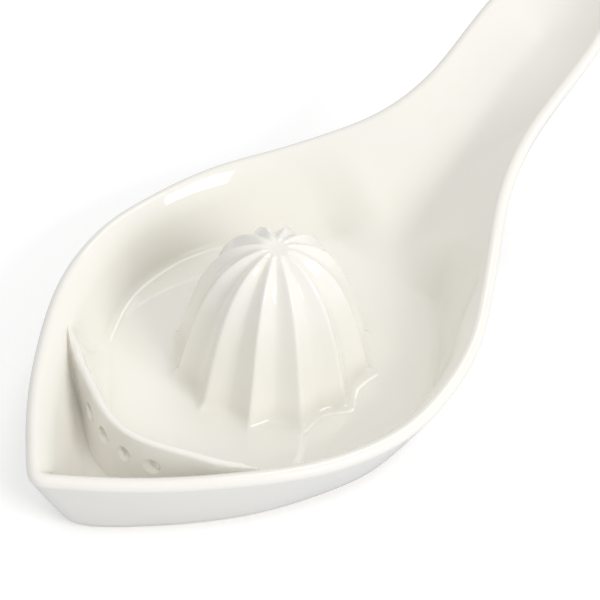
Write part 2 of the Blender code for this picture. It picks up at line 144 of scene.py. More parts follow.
def paced(points: np.ndarray, bend: float = 0.0) -> np.ndarray:
    """Distance along a line, in which each bend counts as a stretch of its own.

    Args:
        points: The line, finely drawn.
        bend: Metres that a turn of one radian counts for.

    Returns:
        The distance at each point.
    """
    steps = np.diff(points, axis=0)
    lengths = np.linalg.norm(steps, axis=1)
    along = steps / np.maximum(lengths, TINY)[:, None]
    turns = bend * np.arccos(np.clip((along[1:] * along[:-1]).sum(axis=1), -1.0, 1.0)) / 2.0
    lengths[:-1] += turns
    lengths[1:] += turns
    return np.concatenate([[0.0], np.cumsum(lengths)])


def resampled(
    points: np.ndarray, cuts: list[float], counts: list[int], bend: float = 0.0,
) -> np.ndarray:
    """Points spaced evenly along a line between marked places.

    Args:
        points: The line, finely drawn.
        cuts: Indices into the line where its stretches start and end.
        counts: Number of steps in each stretch.
        bend: Metres that a turn of one radian counts for.

    Returns:
        The points at the steps, ends included.
    """
    run = paced(points, bend)
    marks = np.interp(cuts, np.arange(len(points)), run)
    stretches = zip(marks, marks[1:], counts)
    wanted = [np.linspace(start, end, count + 1)[:-1] for start, end, count in stretches]
    wanted = np.concatenate([*wanted, marks[-1:]])
    columns = [np.interp(wanted, run, points[:, axis]) for axis in range(points.shape[1])]
    return np.stack(columns, axis=1)


def finished(shape: bmesh.types.BMesh) -> None:
    """Joins the points of a shape that lie on each other and turns its faces outward."""
    bmesh.ops.remove_doubles(shape, verts=shape.verts, dist=WELD)
    bmesh.ops.recalc_face_normals(shape, faces=shape.faces)


def completed(shape: bmesh.types.BMesh) -> None:
    """Adds the other half of a shape that is alike on both sides of the handle's axis."""
    geometry = [*shape.verts, *shape.edges, *shape.faces]
    bmesh.ops.mirror(
        shape, geom=geometry, matrix=Matrix.Identity(4), merge_dist=WELD, axis="Y",
    )
    finished(shape)


@dataclass
class HeightLine:
    """A height that depends on the place along the handle's axis alone."""

    stations: Stations
    softness: float = 0.0045
    step: float = 0.0004
    places: np.ndarray = field(init=False)
    heights: np.ndarray = field(init=False)

    def __post_init__(self) -> None:
        """Draws the line finely and softens it."""
        start, end = self.stations[0][0], self.stations[-1][0]
        wide = np.arange(start - 4 * self.softness, end + 4 * self.softness, self.step)
        rough = smooth_line(self.stations, wide)
        self.places = wide
        self.heights = blurred(rough, wide, np.full(len(wide), self.softness), wide)

    def at(self, places: np.ndarray) -> np.ndarray:
        """The height at each place."""
        return np.interp(places, self.places, self.heights)


@dataclass
class PlanForm:
    """Rim, floor and keel of dish and handle, as half outlines from lip to handle's end."""

    rim_radius: float = 0.0019
    lip_x: float = -0.0843
    lip_height: float = 0.0280
    lip_tip_radius: float = 0.0024
    dish_half_width: float = 0.0532
    dish_rim_height: float = 0.0245
    handle_half_width: float = 0.0168
    handle_start_x: float = 0.0600
    handle_end_x: float = 0.1270
    handle_end_height: float = 0.0640
    foot_tip_x: float = -0.0742
    foot_tail_x: float = 0.0540
    foot_half_width: float = 0.0440
    foot_tip_radius: float = 0.0030
    base_height: float = 0.0018
    basin_floor_height: float = 0.0071
    pocket_floor_height: float = 0.0056
    floor_tip_x: float = -0.0660
    floor_half_width: float = 0.0428
    floor_tip_radius: float = 0.0020
    floor_match: Stations = (
        (-0.0490, -0.0375), (-0.0275, -0.0214), (0.0, 0.0), (0.0214, 0.0171), (0.0357, 0.0275),
        (0.0459, 0.0360), (0.0560, 0.0460), (0.0670, 0.0580), (0.0800, 0.0740),
    )
    trough_depth: float = 0.0065
    trough_end_inset: float = 0.0080
    handle_wall: float = 0.0050
    keel_end_inset: float = 0.0060
    keel_half_width: float = 0.0050
    nose_length: float = 5.0
    tip_softness: float = 0.0005
    foot_tip_softness: float = 0.0008
    side_softness: float = 0.0048
    end_softness: float = 0.0014
    tip_span: tuple[float, float] = (0.001, 0.022)
    end_span: tuple[float, float] = (0.004, 0.030)
    stations: int = 1400
    rim: np.ndarray = field(init=False)
    rim_out: np.ndarray = field(init=False)
    floor: np.ndarray = field(init=False)
    keel: np.ndarray = field(init=False)
    trough_rise: HeightLine = field(init=False)
    keel_rise: HeightLine = field(init=False)

    def __post_init__(self) -> None:
        """Draws the three outlines finely."""
        shares = (1.0 - np.cos(np.linspace(0.0, math.pi, self.stations))) / 2.0
        self.trough_rise = HeightLine(self.trough_stations())
        self.keel_rise = HeightLine(self.keel_stations())
        rim = self.rim_plan(shares)
        floor = self.matched(self.floor_plan(shares), rim[:, 0])
        keel = self.keel_plan(shares)
        self.rim = np.column_stack([rim, self.rim_line().at(rim[:, 0])])
        self.rim_out = self.outward(rim)
        floor_height = self.basin_floor_height + self.rise(self.trough_rise, floor[:, 0])
        self.floor = np.column_stack([floor, floor_height])
        keel_height = self.base_height + self.rise(self.keel_rise, keel[:, 0])
        self.keel = np.column_stack([keel, keel_height])

    @staticmethod
    def rise(line: HeightLine, places: np.ndarray) -> np.ndarray:
        """How far a line stands above the level part, never below it."""
        return np.maximum(line.at(places), 0.0)

    def matched(self, floor: np.ndarray, rim_x: np.ndarray) -> np.ndarray:
        """The floor's edge, point for point across from the rim.

        Args:
            floor: Plan points of the floor's edge.
            rim_x: Places of the rim's points along the handle's axis.

        Returns:
            One plan point of the floor's edge for each point of the rim.
        """
        match = ((rim_x[0], floor[0, 0]), *self.floor_match, (rim_x[-1], floor[-1, 0]))
        x = smooth_line(match, rim_x)
        return np.column_stack([x, np.interp(x, floor[:, 0], floor[:, 1])])

    def trough_end_x(self) -> float:
        """Place where the trough's floor ends."""
        return self.handle_end_x - self.trough_end_inset

    def keel_end_x(self) -> float:
        """Place where the handle's underside ends."""
        return self.handle_end_x - self.keel_end_inset

    def trough_stations(self) -> Stations:
        """Rise of the trough's floor above the basin."""
        rise = self.handle_end_height - self.trough_depth - self.basin_floor_height
        shares = (
            (-0.4, 0.0), (0.0, 0.0), (0.22, 0.0), (0.315, 0.003), (0.410, 0.033), (0.488, 0.119),
            (0.567, 0.286), (0.661, 0.504), (0.780, 0.748), (0.882, 0.903), (1.0, 1.0),
        )
        return scaled(shares, self.trough_end_x(), rise)

    def keel_stations(self) -> Stations:
        """Rise of the handle's underside above the base."""
        rise = self.handle_end_height - self.trough_depth - self.handle_wall - self.base_height
        shares = (
            (-0.4, 0.0), (0.0, 0.0), (0.32, 0.0), (0.390, 0.006), (0.457, 0.066), (0.520, 0.200),
            (0.583, 0.348), (0.661, 0.519), (0.780, 0.753), (0.882, 0.909), (1.0, 1.0),
        )
        return scaled(shares, self.keel_end_x(), rise)

    def rim_line(self) -> HeightLine:
        """Height of the rim's centre along the handle's axis."""
        rise = self.handle_end_height - self.dish_rim_height
        shares = (
            (0.0, 0.0), (0.191, 0.033), (0.361, 0.109), (0.531, 0.286), (0.659, 0.494),
            (0.780, 0.716), (0.882, 0.886), (1.0, 1.0),
        )
        lip = (
            (self.lip_x, self.lip_height),
            (0.673 * self.lip_x, mix(self.lip_height, self.dish_rim_height, 0.4)),
        )
        behind = scaled(shares, self.handle_end_x, rise)
        return HeightLine(lip + tuple((x, self.dish_rim_height + z) for x, z in behind))

    def nosed(self, stations: Stations, x: np.ndarray, tip_radius: float) -> np.ndarray:
        """Half-widths of an outline whose pointed start is rounded to a small nose."""
        along = np.maximum(x - stations[0][0], 0.0)
        fade = np.maximum(0.0, 1.0 - along / (self.nose_length * tip_radius))
        return np.sqrt(smooth_line(stations, x) ** 2 + 2.0 * tip_radius * along * fade * fade)

    def end_closing(self, shares: np.ndarray) -> np.ndarray:
        """Share of the half-width that is left as the handle's round end closes."""
        x = mix(self.lip_x, self.handle_end_x, shares)
        past = np.maximum(x - (self.handle_end_x - self.handle_half_width), 0.0)
        past = past / self.handle_half_width
        return np.sqrt(np.maximum(1.0 - past * past, 0.0))

    def softened(self, x: np.ndarray, y: np.ndarray, tip_softness: float) -> np.ndarray:
        """A half outline with the small waves taken out, kept sharp at the lip's tip.

        Args:
            x: Places along the handle's axis.
            y: Half-widths.
            tip_softness: How far the outline is evened out at the lip's tip.

        Returns:
            The outline's plan points, its two ends exactly on the axis.
        """
        half = np.column_stack([x, y])
        other = half * (1.0, -1.0)
        whole = np.concatenate([other[:0:-1], half, other[-2::-1]])
        run = paced(whole)
        own = slice(len(half) - 1, 2 * len(half) - 1)
        from_tip = run[own] - run[own][0]
        to_end = run[own][-1] - run[own]
        wide = mix(tip_softness, self.side_softness, smooth_step(*self.tip_span, from_tip))
        reach = mix(self.end_softness, wide, smooth_step(*self.end_span, to_end))
        even = blurred(whole, run, reach, run[own])
        even[0, 1] = even[-1, 1] = 0.0
        even[:, 1] = np.maximum(even[:, 1], 0.0)
        return even

    def outline(
        self, stations: Stations, shares: np.ndarray, tip_radius: float, tip_softness: float,
    ) -> np.ndarray:
        """Plan points of a half outline.

        Args:
            stations: Its half-widths, from its pointed tip to its round end.
            shares: Where its points lie, as shares of its length.
            tip_radius: Radius of its tip.
            tip_softness: How far it is evened out at its tip.

        Returns:
            One plan point for each share.
        """
        x = mix(stations[0][0], stations[-1][0], shares)
        half_width = self.nosed(stations, x, tip_radius) * self.end_closing(shares)
        return self.softened(x, half_width, tip_softness)

    def rim_plan(self, shares: np.ndarray) -> np.ndarray:
        """Plan points of the rim's centre line."""
        lip = (
            (-1.0, 0.0), (-0.865, 0.267), (-0.673, 0.547), (-0.416, 0.835), (-0.2135, 0.964),
            (-0.03, 1.0),
        )
        dish = ((0.405, 0.90), (0.765, 0.673))
        handle = ((0.11, 1.33), (0.35, 1.02), (0.58, 1.0))
        start, end, wide = self.handle_start_x, self.handle_end_x, self.handle_half_width
        stations = (
            *scaled(lip, -self.lip_x, self.dish_half_width),
            *scaled(dish, start, self.dish_half_width),
            *between(handle, start, end, wide),
            (end, wide),
        )
        return self.outline(stations, shares, self.lip_tip_radius, self.tip_softness)

    def floor_plan(self, shares: np.ndarray) -> np.ndarray:
        """Plan points of the floor's edge, where the inner wall starts to rise."""
        pocket = (
            (-1.0, 0.0), (-0.86, 0.245), (-0.68, 0.490), (-0.545, 0.654), (-0.417, 0.766),
            (-0.222, 0.940), (-0.056, 0.996),
        )
        basin = (
            (0.167, 0.968), (0.333, 0.868), (0.467, 0.724), (0.567, 0.590), (0.650, 0.487),
            (0.733, 0.400), (0.817, 0.318), (0.900, 0.257), (1.030, 0.217),
        )
        trough = ((0.34, 0.36), (0.69, 0.30))
        start, end, wide = self.handle_start_x, self.trough_end_x(), self.handle_half_width
        stations = (
            *scaled(pocket, -self.floor_tip_x, self.floor_half_width),
            *scaled(basin, start, self.floor_half_width),
            *between(trough, start, end, wide),
            (end, 0.26 * wide),
        )
        return self.outline(stations, shares, self.floor_tip_radius, self.tip_softness)

    def keel_plan(self, shares: np.ndarray) -> np.ndarray:
        """Plan points of the outer wall's lower edge: the foot, then the handle's underside."""
        front = (
            (-1.0, 0.0), (-0.898, 0.218), (-0.752, 0.457), (-0.606, 0.645), (-0.461, 0.793),
            (-0.170, 0.982), (-0.04, 1.0),
        )
        back = ((0.17, 0.945), (0.57, 0.71), (0.83, 0.52), (0.97, 0.44))
        handle = ((0.18, 2.4), (0.39, 1.6), (0.69, 1.2))
        tail, end = self.foot_tail_x, self.keel_end_x()
        stations = (
            *scaled(front, -self.foot_tip_x, self.foot_half_width),
            *scaled(back, tail, self.foot_half_width),
            *between(handle, tail, end, self.keel_half_width),
            (end, self.keel_half_width),
        )
        return self.outline(stations, shares, self.foot_tip_radius, self.foot_tip_softness)

    @staticmethod
    def outward(plan: np.ndarray) -> np.ndarray:
        """Outward plan directions of a half outline, straight out at its two ends."""
        along = np.gradient(plan, axis=0)
        out = np.column_stack([-along[:, 1], along[:, 0]])
        out /= np.maximum(np.linalg.norm(out, axis=1, keepdims=True), SPECK)
        out[0], out[-1] = (-1.0, 0.0), (1.0, 0.0)
        return out


@dataclass
class StrainerForm:
    """The strainer wall, whose level crest bulges towards the lip, and its row of drain holes."""

    radius: float = 0.0536
    bulge: float = 0.0027
    bulge_reach: float = math.radians(23)
    half_crest: float = 0.0011
    height: float = 0.0243
    inner_foot_side: float = 0.0103
    inner_foot_middle: float = 0.0048
    foot_turn: tuple[float, float] = (math.radians(140), math.radians(170))
    inner_lean: float = 0.40
    outer_foot: float = 0.0036
    outer_lean: float = 0.42
    border: float = 0.0008
    root_depth: float = 0.0020
    fade: tuple[float, float] = (math.radians(122), math.radians(147))
    first_angle: float = math.radians(129)
    hole_count: int = 4
    hole_turn: float = math.radians(-1.95)
    hole_diameter: float = 0.0032
    hole_height: float = 0.0168
    hole_pitch: float = math.radians(8.7)
    hole_flare: float = 0.0007
    hole_inset: float = 0.0003
    half_hole: float = 0.0019

    def crest_radius(self, angle: np.ndarray) -> np.ndarray:
        """Distance of the crest's middle from the cone's axis, at angles from the handle's side."""
        away = np.clip((math.pi - angle) / self.bulge_reach, 0.0, 1.0)
        return self.radius + self.bulge * (1.0 + np.cos(math.pi * away)) / 2.0

    def inner_foot(self, angle: np.ndarray) -> np.ndarray:
        """How far the inner face's foot lies from the crest's middle."""
        share = smooth_step(*self.foot_turn, angle)
        return mix(self.inner_foot_side, self.inner_foot_middle, share)

    def flank(
        self, away: np.ndarray, foot: np.ndarray, lean: float, rise: np.ndarray,
    ) -> np.ndarray:
        """Height above the floor across half the wall: the round crest, then the leaning face.

        Args:
            away: Distances from the crest's middle.
            foot: Distances of the face's foot.
            lean: How far the face stays level at its foot.
            rise: Heights of the crest above the floor.

        Returns:
            The height at each distance.
        """
        crest = self.half_crest
        turn = np.arctan2(rise, (foot - crest) * (1.0 - lean))
        edge, shoulder = crest * np.sin(turn), rise - crest * (1.0 - np.cos(turn))
        along = np.clip((foot - away) / (foot - edge), 0.0, 1.0)
        s = (np.sqrt(lean * lean + (1.0 - 2.0 * lean) * along) - lean) / (1.0 - 2.0 * lean)
        top = rise - crest + np.sqrt(np.maximum(crest * crest - away * away, 0.0))
        return np.where(away < edge, top, shoulder * s * s)

    def rise(self, x: np.ndarray, y: np.ndarray, floor: np.ndarray) -> np.ndarray:
        """Height of the wall above the floor at each plan point.

        Args:
            x: Places along the handle's axis.
            y: Places across it.
            floor: Heights of the floor there.

        Returns:
            The heights, which are 0 beside the wall.
        """
        angle = np.arctan2(np.abs(y), x)
        away = np.hypot(x, y) - self.crest_radius(angle)
        crest = (self.height - floor) * smooth_step(*self.fade, angle)
        inner = self.flank(-away, self.inner_foot(angle), self.inner_lean, crest)
        outer = self.flank(away, np.full(len(away), self.outer_foot), self.outer_lean, crest)
        return np.where(away < 0.0, inner, outer)


@dataclass
class ConeForm:
    """Outline of the reamer: ridges with round flutes between them, and the hollow inside."""

    ridge_count: int = 12
    radius: float = 0.0270
    height: float = 0.0410
    flank_height: float = 0.0200
    flank_radius: float = 0.0216
    shoulder_radius: float = 0.0190
    flute_depth: float = 0.0030
    ridge_softness: float = 0.00055
    ridge_limit: float = 0.16
    wall: float = 0.0042
    base_fillet: float = 0.0032
    crown_radius: float = 0.0042
    crown_flat: float = 0.0012
    crown_dip: float = 0.0006
    flute_end: tuple[float, float] = (0.0015, 0.0085)
    flute_taper: float = 0.75
    mouth_radius: float = 0.0015
    points: int = 700
    below_base: float = 0.06
    base_points: int = 120
    slope_points: int = 30
    fillet_points: int = 200
    hollow_points: int = 300

    def bell(self, shares: np.ndarray, inset: float = 0.0, drop: float = 0.0) -> np.ndarray:
        """Radius and height of the bell-shaped outline.

        Args:
            shares: Shares of the way from base to top, carried on below the base where negative.
            inset: How far inward the outline is moved.
            drop: How far its top is lowered.

        Returns:
            One (radius, height) row for each share.
        """
        s, r = shares, 1.0 - shares
        radius = (
            r ** 3 * (self.radius - inset)
            + 3 * s * r * r * (self.flank_radius - inset)
            + 3 * s * s * r * (self.shoulder_radius - inset)
        )
        top = self.height - drop
        height = 3 * s * r * r * self.flank_height + 3 * s * s * r * top + s ** 3 * top
        return np.column_stack([radius, height])

    def ridge_line(self) -> np.ndarray:
        """The ridge's outline from just below the base to the top."""
        line = self.bell(np.linspace(-self.below_base, 1.0, self.points))
        line[:, 0] = np.maximum(line[:, 0], 0.0)
        return line

    def section(self, angle: float) -> np.ndarray:
        """Radius and height along one meridian of the outside, from below the base to the apex.

        Args:
            angle: The meridian's angle round the axis.

        Returns:
            One (radius, height) row for each point, with the flutes and the crown's small dip.
        """
        line = self.ridge_line()
        along = np.gradient(line, axis=0)
        along /= np.linalg.norm(along, axis=1, keepdims=True)
        out = np.column_stack([along[:, 1], -along[:, 0]])
        flute = 2.0 * math.pi / self.ridge_count
        away = abs((angle / flute + 0.5) % 1.0 - 0.5)
        size = line[:, 0]
        width = np.maximum(size * flute, LEAST_WIDTH)
        soft = np.minimum(self.ridge_softness / width, self.ridge_limit)
        near = np.sqrt(away * away + soft * soft) - soft
        hollow = 4.0 * near * (1.0 - near)
        fade = (size / self.radius) ** self.flute_taper * smooth_step(*self.flute_end, size)
        section = line - out * (self.flute_depth * fade * hollow)[:, None]
        crown = smooth_step(self.crown_flat, self.crown_radius, size)
        section[:, 1] -= self.crown_dip * (1.0 - crown)
        section[:, 0] = np.maximum(section[:, 0], 0.0)
        return section

    def meridian(self, angle: float, rows: int, fillet_rows: int) -> np.ndarray:
        """Points down one meridian, from the apex to the fillet's end on the floor.

        Args:
            angle: The meridian's angle round the axis.
            rows: Number of steps down the flank.
            fillet_rows: Number of steps round the fillet at the base.

        Returns:
            (radius, height above the floor) rows.
        """
        section = self.section(angle)
        low = section[:self.base_points]
        crossing = np.interp(0.0, low[:, 1], np.arange(len(low)))
        base_radius = np.interp(crossing, np.arange(len(low)), low[:, 0])
        ahead = section[int(crossing) + self.slope_points] - (base_radius, 0.0)
        slope = math.atan2(ahead[1], -ahead[0])
        reach = self.base_fillet * math.tan(slope / 2)
        lift = reach * math.sin(slope)
        start = np.interp(lift, section[:self.fillet_points, 1], np.arange(self.fillet_points))
        flank = resampled(section[::-1], [0.0, len(section) - 1 - start], [rows])
        centre = np.array([base_radius + reach, self.base_fillet])
        turn = np.linspace(-math.pi / 2 - slope, -math.pi / 2, fillet_rows + 1)[1:]
        fillet = centre + self.base_fillet * np.column_stack([np.cos(turn), np.sin(turn)])
        return np.concatenate([flank, fillet])

    def hollow_radius(self) -> float:
        """Radius of the hollow at the base."""
        return self.radius - self.flute_depth - self.wall

    def hollow(self, rows: int) -> np.ndarray:
        """Radius and height of the hollow's side, from its base to its top."""
        shares = np.linspace(0.0, 1.0, self.hollow_points)
        line = self.bell(shares, self.flute_depth + self.wall, self.wall)
        return resampled(line, [0.0, len(line) - 1.0], [rows])


@dataclass
class RowPlan:
    """Numbers of steps in the stretches of a column of the skin, from apex to hollow's top."""

    cone: int = 46
    cone_fillet: int = 6
    basin: int = 24
    band: int = 104
    beyond: int = 44
    rim: int = 12
    outside: int = 22
    base: int = 10
    mouth: int = 4
    shaft: int = 2
    hollow: int = 12

    def marks(self) -> dict[str, int]:
        """Row number at which each stretch starts."""
        start, marks = 0, {}
        for name, count in vars(self).items():
            marks[name] = start
            start += count
        marks["end"] = start
        return marks


@dataclass
class FiredBody:
    """The skin of clay and glaze, drawn as columns from the cone's apex over the rim and back."""

    plan: PlanForm = field(default_factory=PlanForm)
    strainer: StrainerForm = field(default_factory=StrainerForm)
    cone: ConeForm = field(default_factory=ConeForm)
    rows: RowPlan = field(default_factory=RowPlan)
    sector_columns: tuple[int, ...] = (84, 24, 24, 24, 24, 32)
    ridge_crowding: float = 0.62
    handle_crowding: float = 1.35
    rim_pace: Stations = (
        (0.0, 0.9), (0.10, 1.35), (0.40, 1.35), (0.50, 1.15), (0.80, 1.15), (0.94, 0.85),
        (1.0, 0.30),
    )
    lip_span: tuple[float, float] = (-0.060, -0.045)
    lean_span: tuple[float, float] = (0.45, 1.25)
    basin_lean: float = 0.25
    lip_lean: float = 0.28
    trough_lean: float = 0.15
    outer_dish_lean: float = 0.12
    outer_handle_lean: float = 0.75
    corner_span: tuple[float, float] = (0.60, 1.15)
    basin_corner: float = 0.0024
    lip_corner: float = 0.0060
    trough_corner: float = 0.0200
    rim_flare: float = math.radians(24)
    flare_arm: float = 0.0042
    flare_end: tuple[float, float] = (0.0250, 0.0420)
    valley_start: tuple[float, float] = (0.0440, 0.0565)
    valley_round: float = 0.22
    merge_depth: float = 0.0075
    bend_pace: float = 0.0040
    band_turn: tuple[float, float] = (math.radians(82), math.radians(118))
    open_band: tuple[float, float] = (0.28, 0.70)
    band_limit: float = 0.90
    level_points: int = 300
    wall_points: int = 341
    corner_points: int = 161

    def column_angles(self) -> np.ndarray:
        """Angle of each column round the cone, closest on the ridges and towards the handle."""
        sector = math.pi / len(self.sector_columns)
        angles = []
        for number, count in enumerate(self.sector_columns):
            share = np.arange(count) / count
            if number == 0:
                share = share ** self.handle_crowding
            else:
                share = share - self.ridge_crowding * np.sin(2 * math.pi * share) / (2 * math.pi)
            angles.append(sector * (number + share))
        return np.concatenate([*angles, [math.pi]])

    def column_stations(self, count: int) -> np.ndarray:
        """Index of each column into the outlines, from the handle's end to the lip."""
        rim = self.plan.rim[::-1]
        run = paced(rim)
        where, pace = np.array(self.rim_pace).T
        steps = np.interp((np.arange(count) + 0.5) / count, where, pace)
        reached = np.concatenate([[0.0], np.cumsum(steps)])
        index = np.interp(reached / reached[-1] * run[-1], run, np.arange(len(rim)))
        return len(rim) - 1 - index

    @staticmethod
    def read(line: np.ndarray, index: float) -> np.ndarray:
        """A point of a finely drawn line at a broken index."""
        low = min(int(index), len(line) - 2)
        return line[low] + (line[low + 1] - line[low]) * (index - low)

    @staticmethod
    def bowed(start: np.ndarray, end: np.ndarray, lean: float, s: np.ndarray) -> np.ndarray:
        """Points of a wall that leaves start level and bends up to end.

        Args:
            start: Where the wall starts.
            end: Where it ends.
            lean: How far it stays level.
            s: Shares of the way along the wall.

        Returns:
            One point for each share.
        """
        along = (2.0 * s * (1.0 - s) * lean + s * s)[:, None]
        plan = start[:2] + (end[:2] - start[:2]) * along
        return np.column_stack([plan, start[2] + (end[2] - start[2]) * s * s])

    def turned(self, first: np.ndarray, middle: np.ndarray, last: np.ndarray) -> np.ndarray:
        """Points of a round corner at middle, from first to last."""
        s = np.linspace(0.0, 1.0, self.corner_points)[:, None]
        return first * (1.0 - s) ** 2 + 2.0 * middle * s * (1.0 - s) + last * s ** 2

    def cornered(
        self, start: np.ndarray, end: np.ndarray, lean: float, reach: float,
        top: tuple[float, float],
    ) -> np.ndarray:
        """Points of a wall that runs level, turns up round a corner, rises straight and leans out.

        Args:
            start: Where the wall leaves the floor.
            end: Where it meets the rim.
            lean: Share of the way across at which the level and the rising line would meet.
            reach: How far from that place the round corner starts and ends.
            top: Slope at the rim, and half the length over which the wall leans out to it.

        Returns:
            Evenly spaced points, start left out.
        """
        meeting = np.array([*(start[:2] + (end[:2] - start[:2]) * lean), start[2]])
        across = end[:2] - meeting[:2]
        across = across / max(float(np.linalg.norm(across)), TINY)
        bend = end - top[1] * np.array([*(across * math.cos(top[0])), math.sin(top[0])])
        level, rising = meeting - start, bend - meeting
        length = max(float(np.linalg.norm(rising)), TINY)
        before = max(1.0 - reach / max(float(np.linalg.norm(level)), TINY), 0.0)
        after = min(reach, length / 2) / length
        corner = self.turned(start + level * before, meeting, meeting + rising * after)
        leaning = self.turned(bend - rising * min(top[1] / length, 0.5), bend, end)
        line = np.concatenate([start[None], corner, leaning])
        run = paced(line)
        wanted = np.linspace(0.0, 1.0, self.wall_points)[1:] * run[-1]
        return np.stack([np.interp(wanted, run, line[:, axis]) for axis in range(3)], axis=1)

    def towards_handle(self, low: float, high: float, span: tuple[float, float], x: float) -> float:
        """A measure that changes from the dish to the handle.

        Args:
            low: Its value in the dish.
            high: Its value on the handle.
            span: Where the change starts and ends, as shares of the handle's start.
            x: Where it is read.

        Returns:
            The value at x.
        """
        start, end = (share * self.plan.handle_start_x for share in span)
        return mix(low, high, float(smooth_step(start, end, np.array(x))))

    def in_lip(self, x: float) -> float:
        """Share of the lip's form that the inner wall has, at the floor's edge at x."""
        return 1.0 - float(smooth_step(*self.lip_span, np.array(x)))

    def inner_lean(self, x: float) -> float:
        """How far the inner wall stays level, at the floor's edge at x."""
        lean = self.towards_handle(self.basin_lean, self.trough_lean, self.lean_span, x)
        return mix(lean, self.lip_lean, self.in_lip(x))

    @staticmethod
    def top_angle(low: np.ndarray, high: np.ndarray, lean: float) -> float:
        """Slope of a bowed wall where it reaches the rim."""
        flat = max(float(np.linalg.norm(high[:2] - low[:2])), LEAST_RUN) * (1.0 - lean)
        return math.atan2(high[2] - low[2], flat)

    def floor_drop(self, x: np.ndarray, y: np.ndarray) -> np.ndarray:
        """How far the pocket's floor, beyond the strainer wall, lies below the basin's."""
        form, plan = self.strainer, self.plan
        angle = np.arctan2(np.abs(y), x)
        away = np.hypot(x, y) - form.crest_radius(angle)
        beyond = smooth_step(-form.half_crest, form.half_crest, away)
        drop = plan.basin_floor_height - plan.pocket_floor_height
        return drop * beyond * smooth_step(*form.fade, angle)

    def corner_reach(self, x: float) -> float:
        """How far the round corner at the inner wall's foot reaches, at the floor's edge at x."""
        dish = mix(self.basin_corner, self.lip_corner, self.in_lip(x))
        return self.towards_handle(dish, self.trough_corner, self.corner_span, x)

    def flare(self, x: float) -> float:
        """How much less steep the inner wall is at the rim than below, at the floor's edge at x."""
        return self.rim_flare * (1.0 - float(smooth_step(*self.flare_end, np.array(x))))

    def valley(self, x: np.ndarray, y: np.ndarray) -> tuple[np.ndarray, np.ndarray]:
        """The trough as a valley, whose straight sides meet in a round bottom and close at its end.

        Args:
            x: Places along the handle's axis.
            y: Places across it.

        Returns:
            The height at each place, and the slope that the side below it has at the rim.
        """
        plan, bottom_round = self.plan, self.valley_round
        centre = plan.handle_end_x - plan.handle_half_width
        rim_x = np.minimum(x, centre)
        half = np.interp(rim_x, plan.rim[:, 0], plan.rim[:, 1]) - plan.rim_radius
        away = np.hypot(y, np.maximum(x - centre, 0.0)) / half
        whole = math.hypot(1.0, bottom_round)
        share = (np.hypot(away, bottom_round) - bottom_round) / (whole - bottom_round)
        bottom = self.floor_height(x, y)
        depth = np.interp(x, plan.rim[:, 0], plan.rim[:, 2]) - bottom
        return bottom + depth * share, depth / half / whole / (whole - bottom_round)

    def inside_line(
        self, start: np.ndarray, edge: np.ndarray, top: np.ndarray, lean: float, slope: float,
    ) -> tuple[np.ndarray, np.ndarray]:
        """The inner surface along one column, from the cone's fillet to the rim.

        Args:
            start: Plan point where the fillet ends.
            edge: Floor's edge.
            top: Where the inner wall runs into the rim.
            lean: How far the wall stays level.
            slope: Its slope at the rim.

        Returns:
            The finely drawn line, and the indices at which the strainer's band starts and ends.
        """
        form = self.strainer
        share = np.linspace(0.0, 1.0, self.level_points)[:, None]
        level = start[:2] + (edge[:2] - start[:2]) * share
        ending = (slope, self.flare_arm * self.flare(edge[0]) / self.rim_flare)
        wall = self.cornered(edge, top, lean, self.corner_reach(edge[0]), ending)
        x, y = np.concatenate([level, wall[:, :2]]).T
        floor = self.floor_height(x, y)
        height = np.concatenate([floor[:len(level)], wall[:, 2]])
        valley = self.valley(x, y)[0]
        climb = np.zeros(len(height))
        climb[len(level):] = np.linspace(0.0, 1.0, len(wall) + 1)[1:] ** 2
        valley += (top[2] - valley[-1]) * climb
        height += (valley - height) * smooth_step(*self.valley_start, x)
        crest, rise = form.rise(x, y, floor), np.maximum(height - floor, 0.0)
        reach = np.minimum(self.merge_depth, np.minimum(rise, crest)) + TINY
        overlap = np.maximum(reach - np.abs(rise - crest), 0.0) / reach
        joined = floor + np.maximum(rise, crest) + overlap * overlap * reach / 4.0
        line = np.column_stack([x, y, np.where(crest > 0.0, joined, height)])
        angle = np.arctan2(y, x)
        away = np.maximum.accumulate(np.hypot(x, y) - form.crest_radius(angle))
        number = np.arange(len(x), dtype=float)
        crossing = np.interp(0.0, away, angle)
        low, high = -form.inner_foot(crossing) - form.border, form.outer_foot + form.border
        return line, np.interp([low, high], away + number * TINY, number)

    def floor_height(self, x: np.ndarray, y: np.ndarray) -> np.ndarray:
        """Height of the inner floor: the basin, the lower pocket and the trough's bottom."""
        plan = self.plan
        return plan.basin_floor_height + plan.rise(plan.trough_rise, x) - self.floor_drop(x, y)

    def inside(self, angle: float, line: np.ndarray, cuts: np.ndarray) -> np.ndarray:
        """The inner surface along one column, in even steps.

        Args:
            angle: The column's angle round the cone.
            line: The inner surface there, finely drawn.
            cuts: Indices into it at which the strainer's band starts and ends.

        Returns:
            The column's points after the fillet's end, as far as the rim.
        """
        run = paced(line, self.bend_pace)
        marks = np.interp(cuts, np.arange(len(line)), run) / run[-1]
        open_side = 1.0 - float(smooth_step(*self.band_turn, np.array(angle)))
        low = mix(marks[0], self.open_band[0], open_side)
        high = min(mix(marks[1], self.open_band[1], open_side), self.band_limit)
        ends = np.interp(np.array([0.0, low, high, 1.0]) * run[-1], run, np.arange(len(line)))
        counts = [self.rows.basin, self.rows.band, self.rows.beyond]
        return resampled(line, list(ends), counts, self.bend_pace)[1:]

